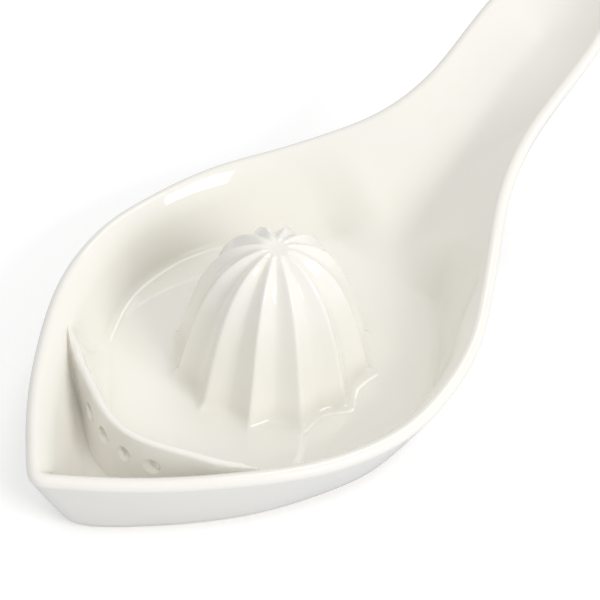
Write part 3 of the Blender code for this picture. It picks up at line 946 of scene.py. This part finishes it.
    def column(self, angle: float, index: float) -> np.ndarray:
        """All points of one column, from the cone's apex to the hollow's top.

        Args:
            angle: The column's angle round the cone.
            index: Its place along the outlines.

        Returns:
            One (x, y, z) row for each point.
        """
        plan, cone, rows = self.plan, self.cone, self.rows
        rim, out = self.read(plan.rim, index), self.read(plan.rim_out, index)
        out = np.append(out / np.linalg.norm(out), 0.0)
        up = np.array([0.0, 0.0, 1.0])
        edge, keel = self.read(plan.floor, index), self.read(plan.keel, index)
        edge[2] = float(self.floor_height(np.array(edge[0]), np.array(edge[1])))
        ray = np.array([math.cos(angle), math.sin(angle)])

        inner_lean = self.inner_lean(edge[0])
        slope = self.top_angle(edge, rim - out * plan.rim_radius, inner_lean) - self.flare(edge[0])
        valley_slope = math.atan(float(self.valley(rim[:1], rim[1:2])[1][0]))
        in_valley = float(smooth_step(*self.valley_start, rim[0]))
        inner_turn = math.pi / 2 + mix(slope, valley_slope, in_valley)
        top = rim + plan.rim_radius * (out * math.cos(inner_turn) + up * math.sin(inner_turn))
        meridian = cone.meridian(angle, rows.cone, rows.cone_fillet)
        reamer = np.column_stack([meridian[:, :1] * ray, plan.basin_floor_height + meridian[:, 1]])
        line, cuts = self.inside_line(reamer[-1], edge, top, inner_lean, slope)
        inside = self.inside(angle, line, cuts)

        outer_lean = self.towards_handle(
            self.outer_dish_lean, self.outer_handle_lean, self.lean_span, keel[0],
        )
        outer_turn = self.top_angle(keel, rim + out * plan.rim_radius, outer_lean) - math.pi / 2
        turns = np.linspace(inner_turn, outer_turn, rows.rim + 1)[1:, None]
        bead = rim + plan.rim_radius * (out * np.cos(turns) + up * np.sin(turns))
        share = np.linspace(1.0, 0.0, rows.outside + 1)[1:]
        outside = self.bowed(keel, bead[-1], outer_lean, share)

        mouth = cone.hollow_radius() + cone.mouth_radius
        share = np.linspace(0.0, 1.0, rows.base + 1)[1:, None]
        under = keel[:2] + (mouth * ray - keel[:2]) * share
        base = np.column_stack([under, plan.base_height + plan.rise(plan.keel_rise, under[:, 0])])
        turns = np.linspace(1.5 * math.pi, math.pi, rows.mouth + 1)[1:]
        reach = mouth + cone.mouth_radius * np.cos(turns)
        height = plan.base_height + cone.mouth_radius * (1.0 + np.sin(turns))
        lip = np.column_stack([reach[:, None] * ray, height])
        climb = np.linspace(lip[-1, 2], plan.basin_floor_height, rows.shaft + 1)[1:]
        shaft = np.column_stack([np.tile(lip[-1, :2], (rows.shaft, 1)), climb])
        side = cone.hollow(rows.hollow)[1:]
        hollow = np.column_stack([side[:, :1] * ray, plan.basin_floor_height + side[:, 1]])
        points = np.concatenate([reamer, inside, bead, outside, base, lip, shaft, hollow])
        points[:, 1] = np.maximum(points[:, 1], 0.0)
        points[[0, -1], :2] = 0.0
        return points

    def columns(self) -> np.ndarray:
        """Points of all columns of one half, from the handle round to the lip."""
        angles = self.column_angles()
        stations = self.column_stations(len(angles) - 1)
        points = np.stack([self.column(angle, index) for angle, index in zip(angles, stations)])
        points[[0, -1], :, 1] = 0.0
        return points

    def skin(self, axis_x: float) -> bmesh.types.BMesh:
        """The whole skin as one closed mesh, with its rows, columns and members kept on it.

        Args:
            axis_x: Place of the cone's axis along the part.

        Returns:
            The skin, turned outward, with its shading normals and a glaze depth on its points that
            also darkens hollows as painted shade.
        """
        points = self.columns()
        across, along = points.shape[0] - 1, points.shape[1] - 1
        shape = bmesh.new()
        row_of = shape.verts.layers.int.new("row")
        column_of = shape.verts.layers.int.new("column")
        drawn_of = shape.verts.layers.int.new("drawn")
        member_of = shape.faces.layers.int.new("member")
        bmesh.ops.create_grid(shape, x_segments=across, y_segments=along, size=0.5)
        for vert in shape.verts:
            column, row = round((vert.co.x + 0.5) * across), round((vert.co.y + 0.5) * along)
            vert.co = points[column, row]
            vert[row_of], vert[column_of], vert[drawn_of] = row, column, 1
        first = int(np.searchsorted(self.column_angles(), self.strainer.first_angle))
        for face in shape.faces:
            row = min(vert[row_of] for vert in face.verts)
            column = min(vert[column_of] for vert in face.verts)
            face[member_of] = self.member_at(row, column >= first).value
        completed(shape)
        start = self.plan.handle_start_x
        cut = bmesh.ops.bisect_plane(
            shape, geom=[*shape.verts, *shape.edges, *shape.faces], dist=SNAP,
            plane_co=(start, 0.0, 0.0), plane_no=(1.0, 0.0, 0.0),
        )
        for item in cut["geom_cut"]:
            if isinstance(item, bmesh.types.BMVert):
                item[drawn_of] = 0
        for face in shape.faces:
            if face[member_of] == Member.DISH.value and face.calc_center_median().x > start:
                face[member_of] = Member.HANDLE.value
        bmesh.ops.translate(shape, verts=shape.verts, vec=(axis_x, 0.0, 0.0))
        self.keep_shading(shape)
        return shape

    def member_at(self, row: int, strained: bool) -> Member:
        """The member that holds a face of the skin, before the handle is parted from the dish.

        Args:
            row: The face's row.
            strained: Whether its column crosses the strainer wall.

        Returns:
            The member.
        """
        marks = self.rows.marks()
        if row < marks["basin"] or row >= marks["hollow"]:
            return Member.REAMER
        if strained and marks["band"] <= row < marks["beyond"]:
            return Member.STRAINER_WALL
        return Member.DISH

    @staticmethod
    def keep_shading(shape: bmesh.types.BMesh) -> None:
        """Keeps each point's normal and a glaze depth from the surface's bend: thin on ridges, deep
        in hollows, which the glaze tints darker as part real pooling, part painted shade.
        """
        normal_of = shape.verts.layers.float_vector.new("whole_normal")
        depth_and_shade_of = shape.verts.layers.float.new("glaze_depth")
        shape.normal_update()
        for vert in shape.verts:
            vert[normal_of] = vert.normal
            bends = []
            for edge in vert.link_edges:
                other = edge.other_vert(vert)
                away = other.co - vert.co
                turn = (other.normal - vert.normal).dot(away)
                bends.append(turn / max(away.length_squared, SPECK))
            # Concave places get a high value, which the glaze darkens and warms: partly real glaze
            # pooling, partly painted shade in the hollows.
            vert[depth_and_shade_of] = max(-1.0, min(1.0, -MILLIMETRE * sum(bends) / len(bends)))
        for _ in range(SPREAD_ROUNDS):
            spread = []
            for vert in shape.verts:
                near = sum(edge.other_vert(vert)[depth_and_shade_of] for edge in vert.link_edges)
                spread.append(0.5 * vert[depth_and_shade_of] + 0.5 * near / len(vert.link_edges))
            for vert, depth in zip(shape.verts, spread):
                vert[depth_and_shade_of] = depth

    def member_shape(self, skin: bmesh.types.BMesh, member: Member) -> bmesh.types.BMesh:
        """One member cut out of the skin and closed where it meets its neighbours.

        Args:
            skin: The whole skin.
            member: The member wanted.

        Returns:
            The member's own closed mesh.
        """
        shape = skin.copy()
        member_of = shape.faces.layers.int["member"]
        others = [face for face in shape.faces if face[member_of] != member.value]
        bmesh.ops.delete(shape, geom=others, context="FACES")
        marks = self.rows.marks()
        if member in (Member.DISH, Member.REAMER):
            self.bridge(shape, (marks["basin"], marks["hollow"]))
        if member in (Member.DISH, Member.STRAINER_WALL):
            self.bridge(shape, (marks["band"], marks["beyond"]), sunk=True)
        self.cap(shape, bmesh.ops.holes_fill(shape, edges=self.open_edges(shape))["faces"])
        bmesh.ops.recalc_face_normals(shape, faces=shape.faces)
        return shape

    @staticmethod
    def open_edges(shape: bmesh.types.BMesh) -> list[bmesh.types.BMEdge]:
        """Edges on which the mesh is still open."""
        return [edge for edge in shape.edges if edge.is_boundary]

    def bridge(self, shape: bmesh.types.BMesh, rows: tuple[int, int], sunk: bool = False) -> None:
        """Closes the opening between two rows of the skin.

        Args:
            shape: The member's mesh.
            rows: The two rows whose open edges are joined.
            sunk: Whether the middle of the closing strip lies below its sides, within the clay.
        """
        row_of = shape.verts.layers.int["row"]
        drawn = shape.verts.layers.int["drawn"]
        edges = [
            edge for edge in self.open_edges(shape)
            if edge.verts[0][row_of] == edge.verts[1][row_of] and edge.verts[0][row_of] in rows
            and edge.verts[0][drawn] and edge.verts[1][drawn]
        ]
        strip = bmesh.ops.bridge_loops(shape, edges=edges)
        self.cap(shape, strip["faces"])
        if sunk:
            across = [
                edge for edge in strip["edges"] if edge.verts[0][row_of] != edge.verts[1][row_of]
            ]
            middle = bmesh.ops.subdivide_edges(shape, edges=across, cuts=1)["geom_inner"]
            verts = {item for item in middle if isinstance(item, bmesh.types.BMVert)}
            for vert in verts:
                others = [edge.other_vert(vert) for edge in vert.link_edges]
                lowest = min(other.co.z for other in others if other not in verts)
                vert.co.z = lowest - self.strainer.root_depth
            self.cap(shape, [face for vert in verts for face in vert.link_faces])

    @staticmethod
    def cap(shape: bmesh.types.BMesh, faces: list[bmesh.types.BMFace]) -> None:
        """Marks faces that close a member where it meets its neighbours."""
        member_of = shape.faces.layers.int["member"]
        for face in faces:
            face[member_of] = 0


def add_piece(name: str, shape: bmesh.types.BMesh) -> bpy.types.Object:
    """Turns a bmesh into a smooth named piece at the origin.

    Args:
        name: The piece's name.
        shape: Its mesh, which is used up.

    Returns:
        The new object.
    """
    mesh = bpy.data.meshes.new(name)
    shape.to_mesh(mesh)
    shape.free()
    mesh.shade_smooth()
    piece = bpy.data.objects.new(name, mesh)
    bpy.context.scene.collection.objects.link(piece)
    return piece


def shade_as_one(piece: bpy.types.Object) -> None:
    """Gives a member's outside the whole skin's normals, so that no seam shows in the glaze."""
    mesh = piece.data
    kept = mesh.attributes["whole_normal"]
    member = mesh.attributes["member"]
    normals = [Vector(item.vector) for item in kept.data]
    own = [Vector(item.vector) for item in mesh.vertex_normals]
    corners = [Vector()] * len(mesh.loops)
    for polygon in mesh.polygons:
        capped = member.data[polygon.index].value == 0
        for loop in polygon.loop_indices:
            vertex = mesh.loops[loop].vertex_index
            whole = normals[vertex] if normals[vertex].length > 0.5 else own[vertex]
            corners[loop] = polygon.normal if capped else whole
    mesh.normals_split_custom_set(corners)
    for name in ("whole_normal", "member", "row", "column", "drawn"):
        mesh.attributes.remove(mesh.attributes[name])


class NodeBench:
    """A new material and the laying out of its nodes."""

    def __init__(self, name: str) -> None:
        """Starts from the material's own shader and output."""
        self.material = bpy.data.materials.new(name)
        self.material.use_nodes = True
        self.tree = self.material.node_tree
        self.shader = self.tree.nodes["Principled BSDF"]

    def add(self, kind: str, **values: object) -> bpy.types.Node:
        """Adds a node.

        Args:
            kind: The node's type.
            values: The node's settings, and its inputs' values with underscores for spaces.

        Returns:
            The node.
        """
        node = self.tree.nodes.new(kind)
        for key, value in values.items():
            socket = node.inputs.get(key.replace("_", " "))
            if socket is not None:
                socket.default_value = value
            else:
                setattr(node, key, value)
        return node

    def link(self, source: bpy.types.NodeSocket, target: bpy.types.NodeSocket) -> None:
        """Joins two sockets."""
        self.tree.links.new(source, target)

    def place(self) -> bpy.types.NodeSocket:
        """The place on the object, in metres."""
        return self.add("ShaderNodeTexCoord").outputs["Object"]

    def noise(
        self, grain: float, detail: float = 2.0, roughness: float = 0.5,
    ) -> bpy.types.NodeSocket:
        """Cloudy values.

        Args:
            grain: Size of the clouds in metres.
            detail: Number of finer layers.
            roughness: Strength of the finer layers.

        Returns:
            Values about one half.
        """
        noise = self.add(
            "ShaderNodeTexNoise", Scale=1.0 / grain, Detail=detail, Roughness=roughness,
        )
        self.link(self.place(), noise.inputs["Vector"])
        return noise.outputs["Fac"]

    def ranged(self, source: bpy.types.NodeSocket, low: float, high: float) -> bpy.types.NodeSocket:
        """Values of 0 to 1 brought between low and high."""
        node = self.add("ShaderNodeMapRange", To_Min=low, To_Max=high)
        self.link(source, node.inputs["Value"])
        return node.outputs["Result"]

    def sum(
        self, first: bpy.types.NodeSocket, second: bpy.types.NodeSocket,
    ) -> bpy.types.NodeSocket:
        """Two values added."""
        node = self.add("ShaderNodeMath", operation="ADD")
        self.link(first, node.inputs[0])
        self.link(second, node.inputs[1])
        return node.outputs["Value"]

    def blend(self, share: bpy.types.NodeSocket, low: Colour, high: Colour) -> bpy.types.NodeSocket:
        """A colour between two."""
        node = self.add("ShaderNodeMix", data_type="RGBA")
        self.link(share, node.inputs[0])
        node.inputs[6].default_value = (*low, 1.0)
        node.inputs[7].default_value = (*high, 1.0)
        return node.outputs[2]

    def colour(self, share: bpy.types.NodeSocket, low: Colour, high: Colour) -> None:
        """Colours the surface.

        Args:
            share: The pattern, of which what lies beyond 0 and 1 is cut off.
            low: Colour where the pattern is 0, which also stands for the whole material.
            high: Colour where it is 1.
        """
        kept = self.add("ShaderNodeClamp")
        self.link(share, kept.inputs["Value"])
        self.link(self.blend(kept.outputs["Result"], low, high), self.shader.inputs["Base Color"])
        self.material.diffuse_color = (*low, 1.0)

    def roughen(self, pattern: bpy.types.NodeSocket, middle: float, spread: float) -> None:
        """Varies the surface's roughness about its middle value."""
        rough = self.ranged(pattern, middle - spread / 2, middle + spread / 2)
        self.link(rough, self.shader.inputs["Roughness"])

    def bump(self, height: bpy.types.NodeSocket, depth: float) -> None:
        """Raises the surface by a pattern.

        Args:
            height: The pattern.
            depth: Metres between its low and high places.
        """
        node = self.add("ShaderNodeBump", Strength=1.0, Distance=depth)
        self.link(height, node.inputs["Height"])
        self.link(node.outputs["Normal"], self.shader.inputs["Normal"])


@dataclass(frozen=True)
class GlazedPorcelain:
    """Clear glossy glaze over cream-white porcelain, whiter on ridges, warmer and darker in
    hollows: partly real pooling of the glaze, partly painted shade.
    """

    name: str = "glazed_porcelain"
    thin: Colour = (0.872, 0.857, 0.818)
    # Warmer, darker colour of the hollows: glaze pooling, and also painted shade standing in for
    # the warm shaded light there.
    pooled_and_shaded: Colour = (0.827, 0.800, 0.712)
    roughness: float = 0.055
    roughness_spread: float = 0.02
    refraction: float = 1.52
    pooling_and_shade: tuple[float, float] = (0.35, 1.6)
    clouds: tuple[float, float] = (-0.22, 0.22)
    cloud_size: float = 0.018
    polish_size: float = 0.009
    detail: float = 3.0
    wave_size: float = 0.007
    wave_height: float = 0.000006

    def material(self) -> bpy.types.Material:
        """Builds the finish."""
        bench = NodeBench(self.name)
        # The surface's bend tints hollows darker and warmer: partly glaze pooling, partly painted
        # shade.
        depth = bench.add("ShaderNodeAttribute", attribute_name="glaze_depth")
        pooling_and_shade = bench.ranged(depth.outputs["Fac"], *self.pooling_and_shade)
        clouds = bench.ranged(bench.noise(self.cloud_size, self.detail), *self.clouds)
        bench.colour(bench.sum(pooling_and_shade, clouds), self.thin, self.pooled_and_shaded)
        polish = bench.noise(self.polish_size, self.detail)
        bench.roughen(polish, self.roughness, self.roughness_spread)
        bench.shader.inputs["IOR"].default_value = self.refraction
        bench.bump(bench.noise(self.wave_size, 1.0), self.wave_height)
        return bench.material


@dataclass(frozen=True)
class BisqueClay:
    """Unglazed fired clay of the standing edge, matt and finely grained."""

    name: str = "bisque_clay"
    pale: Colour = (0.82, 0.78, 0.69)
    warm: Colour = (0.74, 0.67, 0.55)
    roughness: float = 0.78
    roughness_spread: float = 0.2
    stains: tuple[float, float] = (-0.25, 1.1)
    stain_size: float = 0.006
    stain_roughness: float = 0.6
    grain_size: float = 0.0005
    grain_roughness: float = 0.65
    grain_height: float = 0.00003
    detail: float = 4.0

    def material(self) -> bpy.types.Material:
        """Builds the finish."""
        bench = NodeBench(self.name)
        stain = bench.noise(self.stain_size, self.detail, self.stain_roughness)
        bench.colour(bench.ranged(stain, *self.stains), self.pale, self.warm)
        grain = bench.noise(self.grain_size, self.detail, self.grain_roughness)
        bench.roughen(grain, self.roughness, self.roughness_spread)
        bench.bump(grain, self.grain_height)
        return bench.material


@dataclass
class FootRing:
    """The unglazed ring on which the dish stands."""

    plan: PlanForm
    height: float = 0.0015
    sunk: float = 0.00035
    width: float = 0.0040
    inset: float = 0.0010
    edge: float = 0.0006
    tail_start: float = 0.5
    points: int = 900
    steps: int = 220
    edge_steps: int = 5
    sharp_angle: float = math.radians(50)

    def outline(self) -> np.ndarray:
        """Plan points of the foot's half outline, from its tip to its round tail."""
        plan = self.plan
        share = (1.0 - np.cos(np.linspace(0.0, math.pi, self.points))) / 2.0
        x = mix(plan.foot_tip_x, plan.foot_tail_x, share)
        keel = plan.keel[plan.keel[:, 0] <= plan.foot_tail_x]
        tail = self.tail_start * plan.foot_tail_x
        past = np.maximum(x - tail, 0.0) / (plan.foot_tail_x - tail)
        y = np.interp(x, keel[:, 0], keel[:, 1]) * np.sqrt(np.maximum(1.0 - past * past, 0.0))
        y[0] = y[-1] = 0.0
        return resampled(np.column_stack([x, y]), [0.0, len(x) - 1.0], [self.steps])

    def section(self) -> list[tuple[float, float]]:
        """(inset, height) points round the ring's section, with its two rounded edges."""
        outer, inner = self.inset, self.inset + self.width
        top, edge = self.height + self.sunk, self.edge
        points = [(outer, top)]
        turns = np.linspace(0.0, math.pi / 2, self.edge_steps)
        for side, away, way in ((outer, edge, turns), (inner, -edge, turns[::-1])):
            points += [
                (side + away * (1.0 - math.cos(turn)), edge * (1.0 - math.sin(turn)))
                for turn in way
            ]
        return [*points, (inner, top), (outer, top)]

    def build(self, axis_x: float) -> bpy.types.Object:
        """Builds the ring and dresses it.

        Args:
            axis_x: Place of the cone's axis along the part.

        Returns:
            The finished piece.
        """
        outline, section = self.outline(), self.section()
        half_length = (outline[-1, 0] - outline[0, 0]) / 2
        middle = (outline[-1, 0] + outline[0, 0]) / 2
        shape = bmesh.new()
        across, along = len(section) - 1, len(outline) - 1
        bmesh.ops.create_grid(shape, x_segments=across, y_segments=along, size=0.5)
        for vert in shape.verts:
            inset, height = section[round((vert.co.x + 0.5) * across)]
            x, y = outline[round((vert.co.y + 0.5) * along)]
            shorter, narrower = 1.0 - inset / half_length, 1.0 - inset / self.plan.foot_half_width
            vert.co = (middle + (x - middle) * shorter, y * narrower, height)
        completed(shape)
        bmesh.ops.translate(shape, verts=shape.verts, vec=(axis_x, 0.0, 0.0))
        ring = add_piece("foot_ring_bisque", shape)
        ring.data.set_sharp_from_angle(angle=self.sharp_angle)
        ring.data.materials.append(BisqueClay().material())
        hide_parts("foot_ring")
        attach(ring, "root")
        return ring


@dataclass
class DrainHoles:
    """The row of round holes through the strainer wall, with softened mouths."""

    form: StrainerForm
    sides: int = 28
    reach: float = 0.0016
    round_steps: int = 5
    round_end: float = math.radians(58)

    def cutter(self, number: int, axis_x: float) -> bpy.types.Object:
        """The solid that one hole takes away.

        Args:
            number: The hole's place in the row.
            axis_x: Place of the cone's axis along the part.

        Returns:
            The cutter, which is removed once it has cut.
        """
        form = self.form
        small, flare, half = form.hole_diameter / 2, form.hole_flare, form.half_hole
        side = [
            (small + flare * (1.0 - math.cos(turn)), half - flare + flare * math.sin(turn))
            for turn in np.linspace(0.0, self.round_end, self.round_steps)
        ]
        (radius, height), end = side[-1], self.round_end
        side.append((radius + self.reach * math.sin(end), height + self.reach * math.cos(end)))
        side = [(radius, -height) for radius, height in side[::-1]] + side
        profile = [(0.0, side[0][1]), *side, (0.0, side[-1][1])]
        shape = bmesh.new()
        verts = [shape.verts.new((radius, 0.0, height)) for radius, height in profile]
        edges = [shape.edges.new(pair) for pair in zip(verts, verts[1:])]
        bmesh.ops.spin(
            shape, geom=[*verts, *edges], cent=(0, 0, 0), axis=(0, 0, 1), angle=2 * math.pi,
            steps=self.sides, use_merge=True,
        )
        finished(shape)
        angle = math.pi + form.hole_turn + (number - (form.hole_count - 1) / 2) * form.hole_pitch
        away = float(form.crest_radius(math.pi - abs(angle - math.pi))) - form.hole_inset
        middle = (axis_x + away * math.cos(angle), away * math.sin(angle), form.hole_height)
        turn = Matrix.Rotation(angle, 4, "Z") @ Matrix.Rotation(math.pi / 2, 4, "Y")
        place = Matrix.Translation(middle) @ turn
        bmesh.ops.transform(shape, matrix=place, verts=shape.verts)
        return add_piece(f"drain_cutter_{number}", shape)

    def drill(self, wall: bpy.types.Object, axis_x: float) -> None:
        """Drills the row of holes and removes the cutters.

        Args:
            wall: The strainer wall, closed on all sides.
            axis_x: Place of the cone's axis along the part.
        """
        solid = wall.data
        finder = KDTree(len(solid.vertices))
        for vertex in solid.vertices:
            finder.insert(vertex.co, vertex.index)
        finder.balance()
        before = [Vector(item.vector) for item in solid.attributes["whole_normal"].data]
        cutters = [self.cutter(number, axis_x) for number in range(self.form.hole_count)]
        for cutter in cutters:
            cut = wall.modifiers.new(cutter.name, "BOOLEAN")
            cut.operation, cut.solver, cut.object = "DIFFERENCE", "EXACT", cutter
        cut_wall = wall.evaluated_get(bpy.context.evaluated_depsgraph_get())
        drilled = bpy.data.meshes.new_from_object(cut_wall)
        wall.modifiers.clear()
        wall.data = drilled
        for cutter in cutters:
            bpy.data.objects.remove(cutter, do_unlink=True)
        kept = drilled.attributes["whole_normal"]
        for vertex in drilled.vertices:
            _, index, distance = finder.find(vertex.co)
            kept.data[vertex.index].vector = before[index] if distance < WELD else (0.0, 0.0, 0.0)


@dataclass
class Squeezer:
    """The whole lemon squeezer: five members of glazed and bare porcelain."""

    body: FiredBody = field(default_factory=FiredBody)

    def axis_x(self) -> float:
        """Place of the cone's axis along the part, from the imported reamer."""
        low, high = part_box("reamer")
        return (low.x + high.x) / 2

    def build(self) -> list[bpy.types.Object]:
        """Builds and dresses every member."""
        axis_x = self.axis_x()
        skin = self.body.skin(axis_x)
        glaze = GlazedPorcelain().material()
        pieces = []
        for member in Member:
            name = member.name.lower()
            piece = add_piece(f"{name}_glazed", self.body.member_shape(skin, member))
            if member is Member.STRAINER_WALL:
                DrainHoles(self.body.strainer).drill(piece, axis_x)
            shade_as_one(piece)
            piece.data.materials.clear()
            piece.data.materials.append(glaze)
            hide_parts(name)
            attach(piece, "root")
            pieces.append(piece)
        skin.free()
        pieces.append(FootRing(self.body.plan).build(axis_x))
        return pieces


@dataclass(frozen=True)
class Lamp:
    """A flat lamp that faces the part."""

    name: str
    azimuth: float
    elevation: float
    distance: float
    width: float
    height: float
    power: float
    aim_height: float = 0.02
    mirrored: bool = True

    def add(self) -> None:
        """Hangs the lamp in its place."""
        light = bpy.data.lights.new(self.name, "AREA")
        light.shape, light.energy = "RECTANGLE", self.power
        light.size, light.size_y = self.width, self.height
        level, turn = math.cos(self.elevation), self.azimuth
        way = Vector((level * math.cos(turn), level * math.sin(turn), math.sin(self.elevation)))
        lamp = bpy.data.objects.new(self.name, light)
        lamp.location = Vector((0.0, 0.0, self.aim_height)) + self.distance * way
        lamp.rotation_mode = "QUATERNION"
        lamp.rotation_quaternion = way.to_track_quat("Z", "Y")
        lamp.visible_glossy = self.mirrored
        bpy.context.scene.collection.objects.link(lamp)


@dataclass
class Studio:
    """Pale floor, soft lamps and the camera."""

    camera_place: tuple[float, float, float] = (-0.29068, -0.25908, 0.43461)
    camera_right: tuple[float, float, float] = (0.6788, -0.7335, 0.0336)
    camera_up: tuple[float, float, float] = (0.5151, 0.5083, 0.6901)
    camera_back: tuple[float, float, float] = (-0.5233, -0.4512, 0.7229)
    lens: float = 127.57
    sensor_width: float = 36.0
    clip: tuple[float, float] = (0.01, 50.0)
    shift: tuple[float, float] = (0.0026, 0.00595)
    floor_size: float = 6.0
    floor_colour: Colour = (0.93, 0.93, 0.93)
    floor_bounce: Colour = (0.735, 0.750, 0.785)
    floor_lift: float = 0.20
    floor_roughness: float = 0.9
    world_strength: float = 0.645
    lamps: tuple[Lamp, ...] = (
        Lamp("side_lamp", math.radians(-91), math.radians(33), 1.3, 0.62, 0.50, 7.1),
        Lamp("top_lamp", math.radians(16), math.radians(60), 1.3, 0.40, 0.52, 2.3),
        Lamp(
            "fill_lamp", math.radians(194), math.radians(64), 1.3, 0.60, 0.60, 1.9, mirrored=False,
        ),
    )

    def add_camera(self, axis_x: float) -> None:
        """Places the camera at the photograph's viewing angle."""
        camera = bpy.data.cameras.new("camera")
        camera.lens, camera.sensor_width = self.lens, self.sensor_width
        camera.shift_x, camera.shift_y = self.shift
        camera.clip_start, camera.clip_end = self.clip
        holder = bpy.data.objects.new("camera", camera)
        turn = Matrix((self.camera_right, self.camera_up, self.camera_back)).transposed()
        holder.rotation_mode = "QUATERNION"
        holder.rotation_quaternion = turn.to_quaternion().normalized()
        holder.location = Vector(self.camera_place) + Vector((axis_x, 0.0, 0.0))
        bpy.context.scene.collection.objects.link(holder)
        bpy.context.scene.camera = holder

    def add_floor(self) -> None:
        """Lays a white floor that keeps the part's shadow."""
        shape = bmesh.new()
        bmesh.ops.create_grid(shape, x_segments=1, y_segments=1, size=self.floor_size / 2)
        floor = add_piece("floor", shape)
        bench = NodeBench("floor_white")
        inputs = bench.shader.inputs
        seen = bench.add("ShaderNodeLightPath").outputs["Is Camera Ray"]
        bench.link(bench.blend(seen, self.floor_bounce, self.floor_colour), inputs["Base Color"])
        bench.link(bench.ranged(seen, 0.0, self.floor_lift), inputs["Emission Strength"])
        inputs["Emission Color"].default_value = (*self.floor_colour, 1.0)
        inputs["Roughness"].default_value = self.floor_roughness
        inputs["Specular IOR Level"].default_value = 0.0
        floor.data.materials.append(bench.material)

    def add_world(self) -> None:
        """Surrounds the part with plain white light."""
        world = bpy.data.worlds.new("white_room")
        world.use_nodes = True
        nodes, links = world.node_tree.nodes, world.node_tree.links
        background = nodes["Background"]
        background.inputs["Color"].default_value = (1.0, 1.0, 1.0, 1.0)
        path = nodes.new("ShaderNodeLightPath")
        strength = nodes.new("ShaderNodeMapRange")
        strength.inputs["To Min"].default_value = self.world_strength
        strength.inputs["To Max"].default_value = 1.0
        links.new(path.outputs["Is Camera Ray"], strength.inputs["Value"])
        links.new(strength.outputs["Result"], background.inputs["Strength"])
        bpy.context.scene.world = world

    def build(self, axis_x: float) -> None:
        """Sets up the whole studio."""
        self.add_camera(axis_x)
        self.add_floor()
        self.add_world()
        for lamp in self.lamps:
            lamp.add()
        bpy.context.scene.view_settings.view_transform = "Standard"


def main() -> None:
    """Builds the part and its studio, and reports each piece."""
    logging.basicConfig(level=logging.INFO, format="%(name)s: %(message)s")
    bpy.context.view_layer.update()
    squeezer = Squeezer()
    for piece in squeezer.build():
        mesh = piece.data
        LOG.info("%s: %d points, %d faces", piece.name, len(mesh.vertices), len(mesh.polygons))
    Studio().build(squeezer.axis_x())


if __name__ == "__main__":
    main()
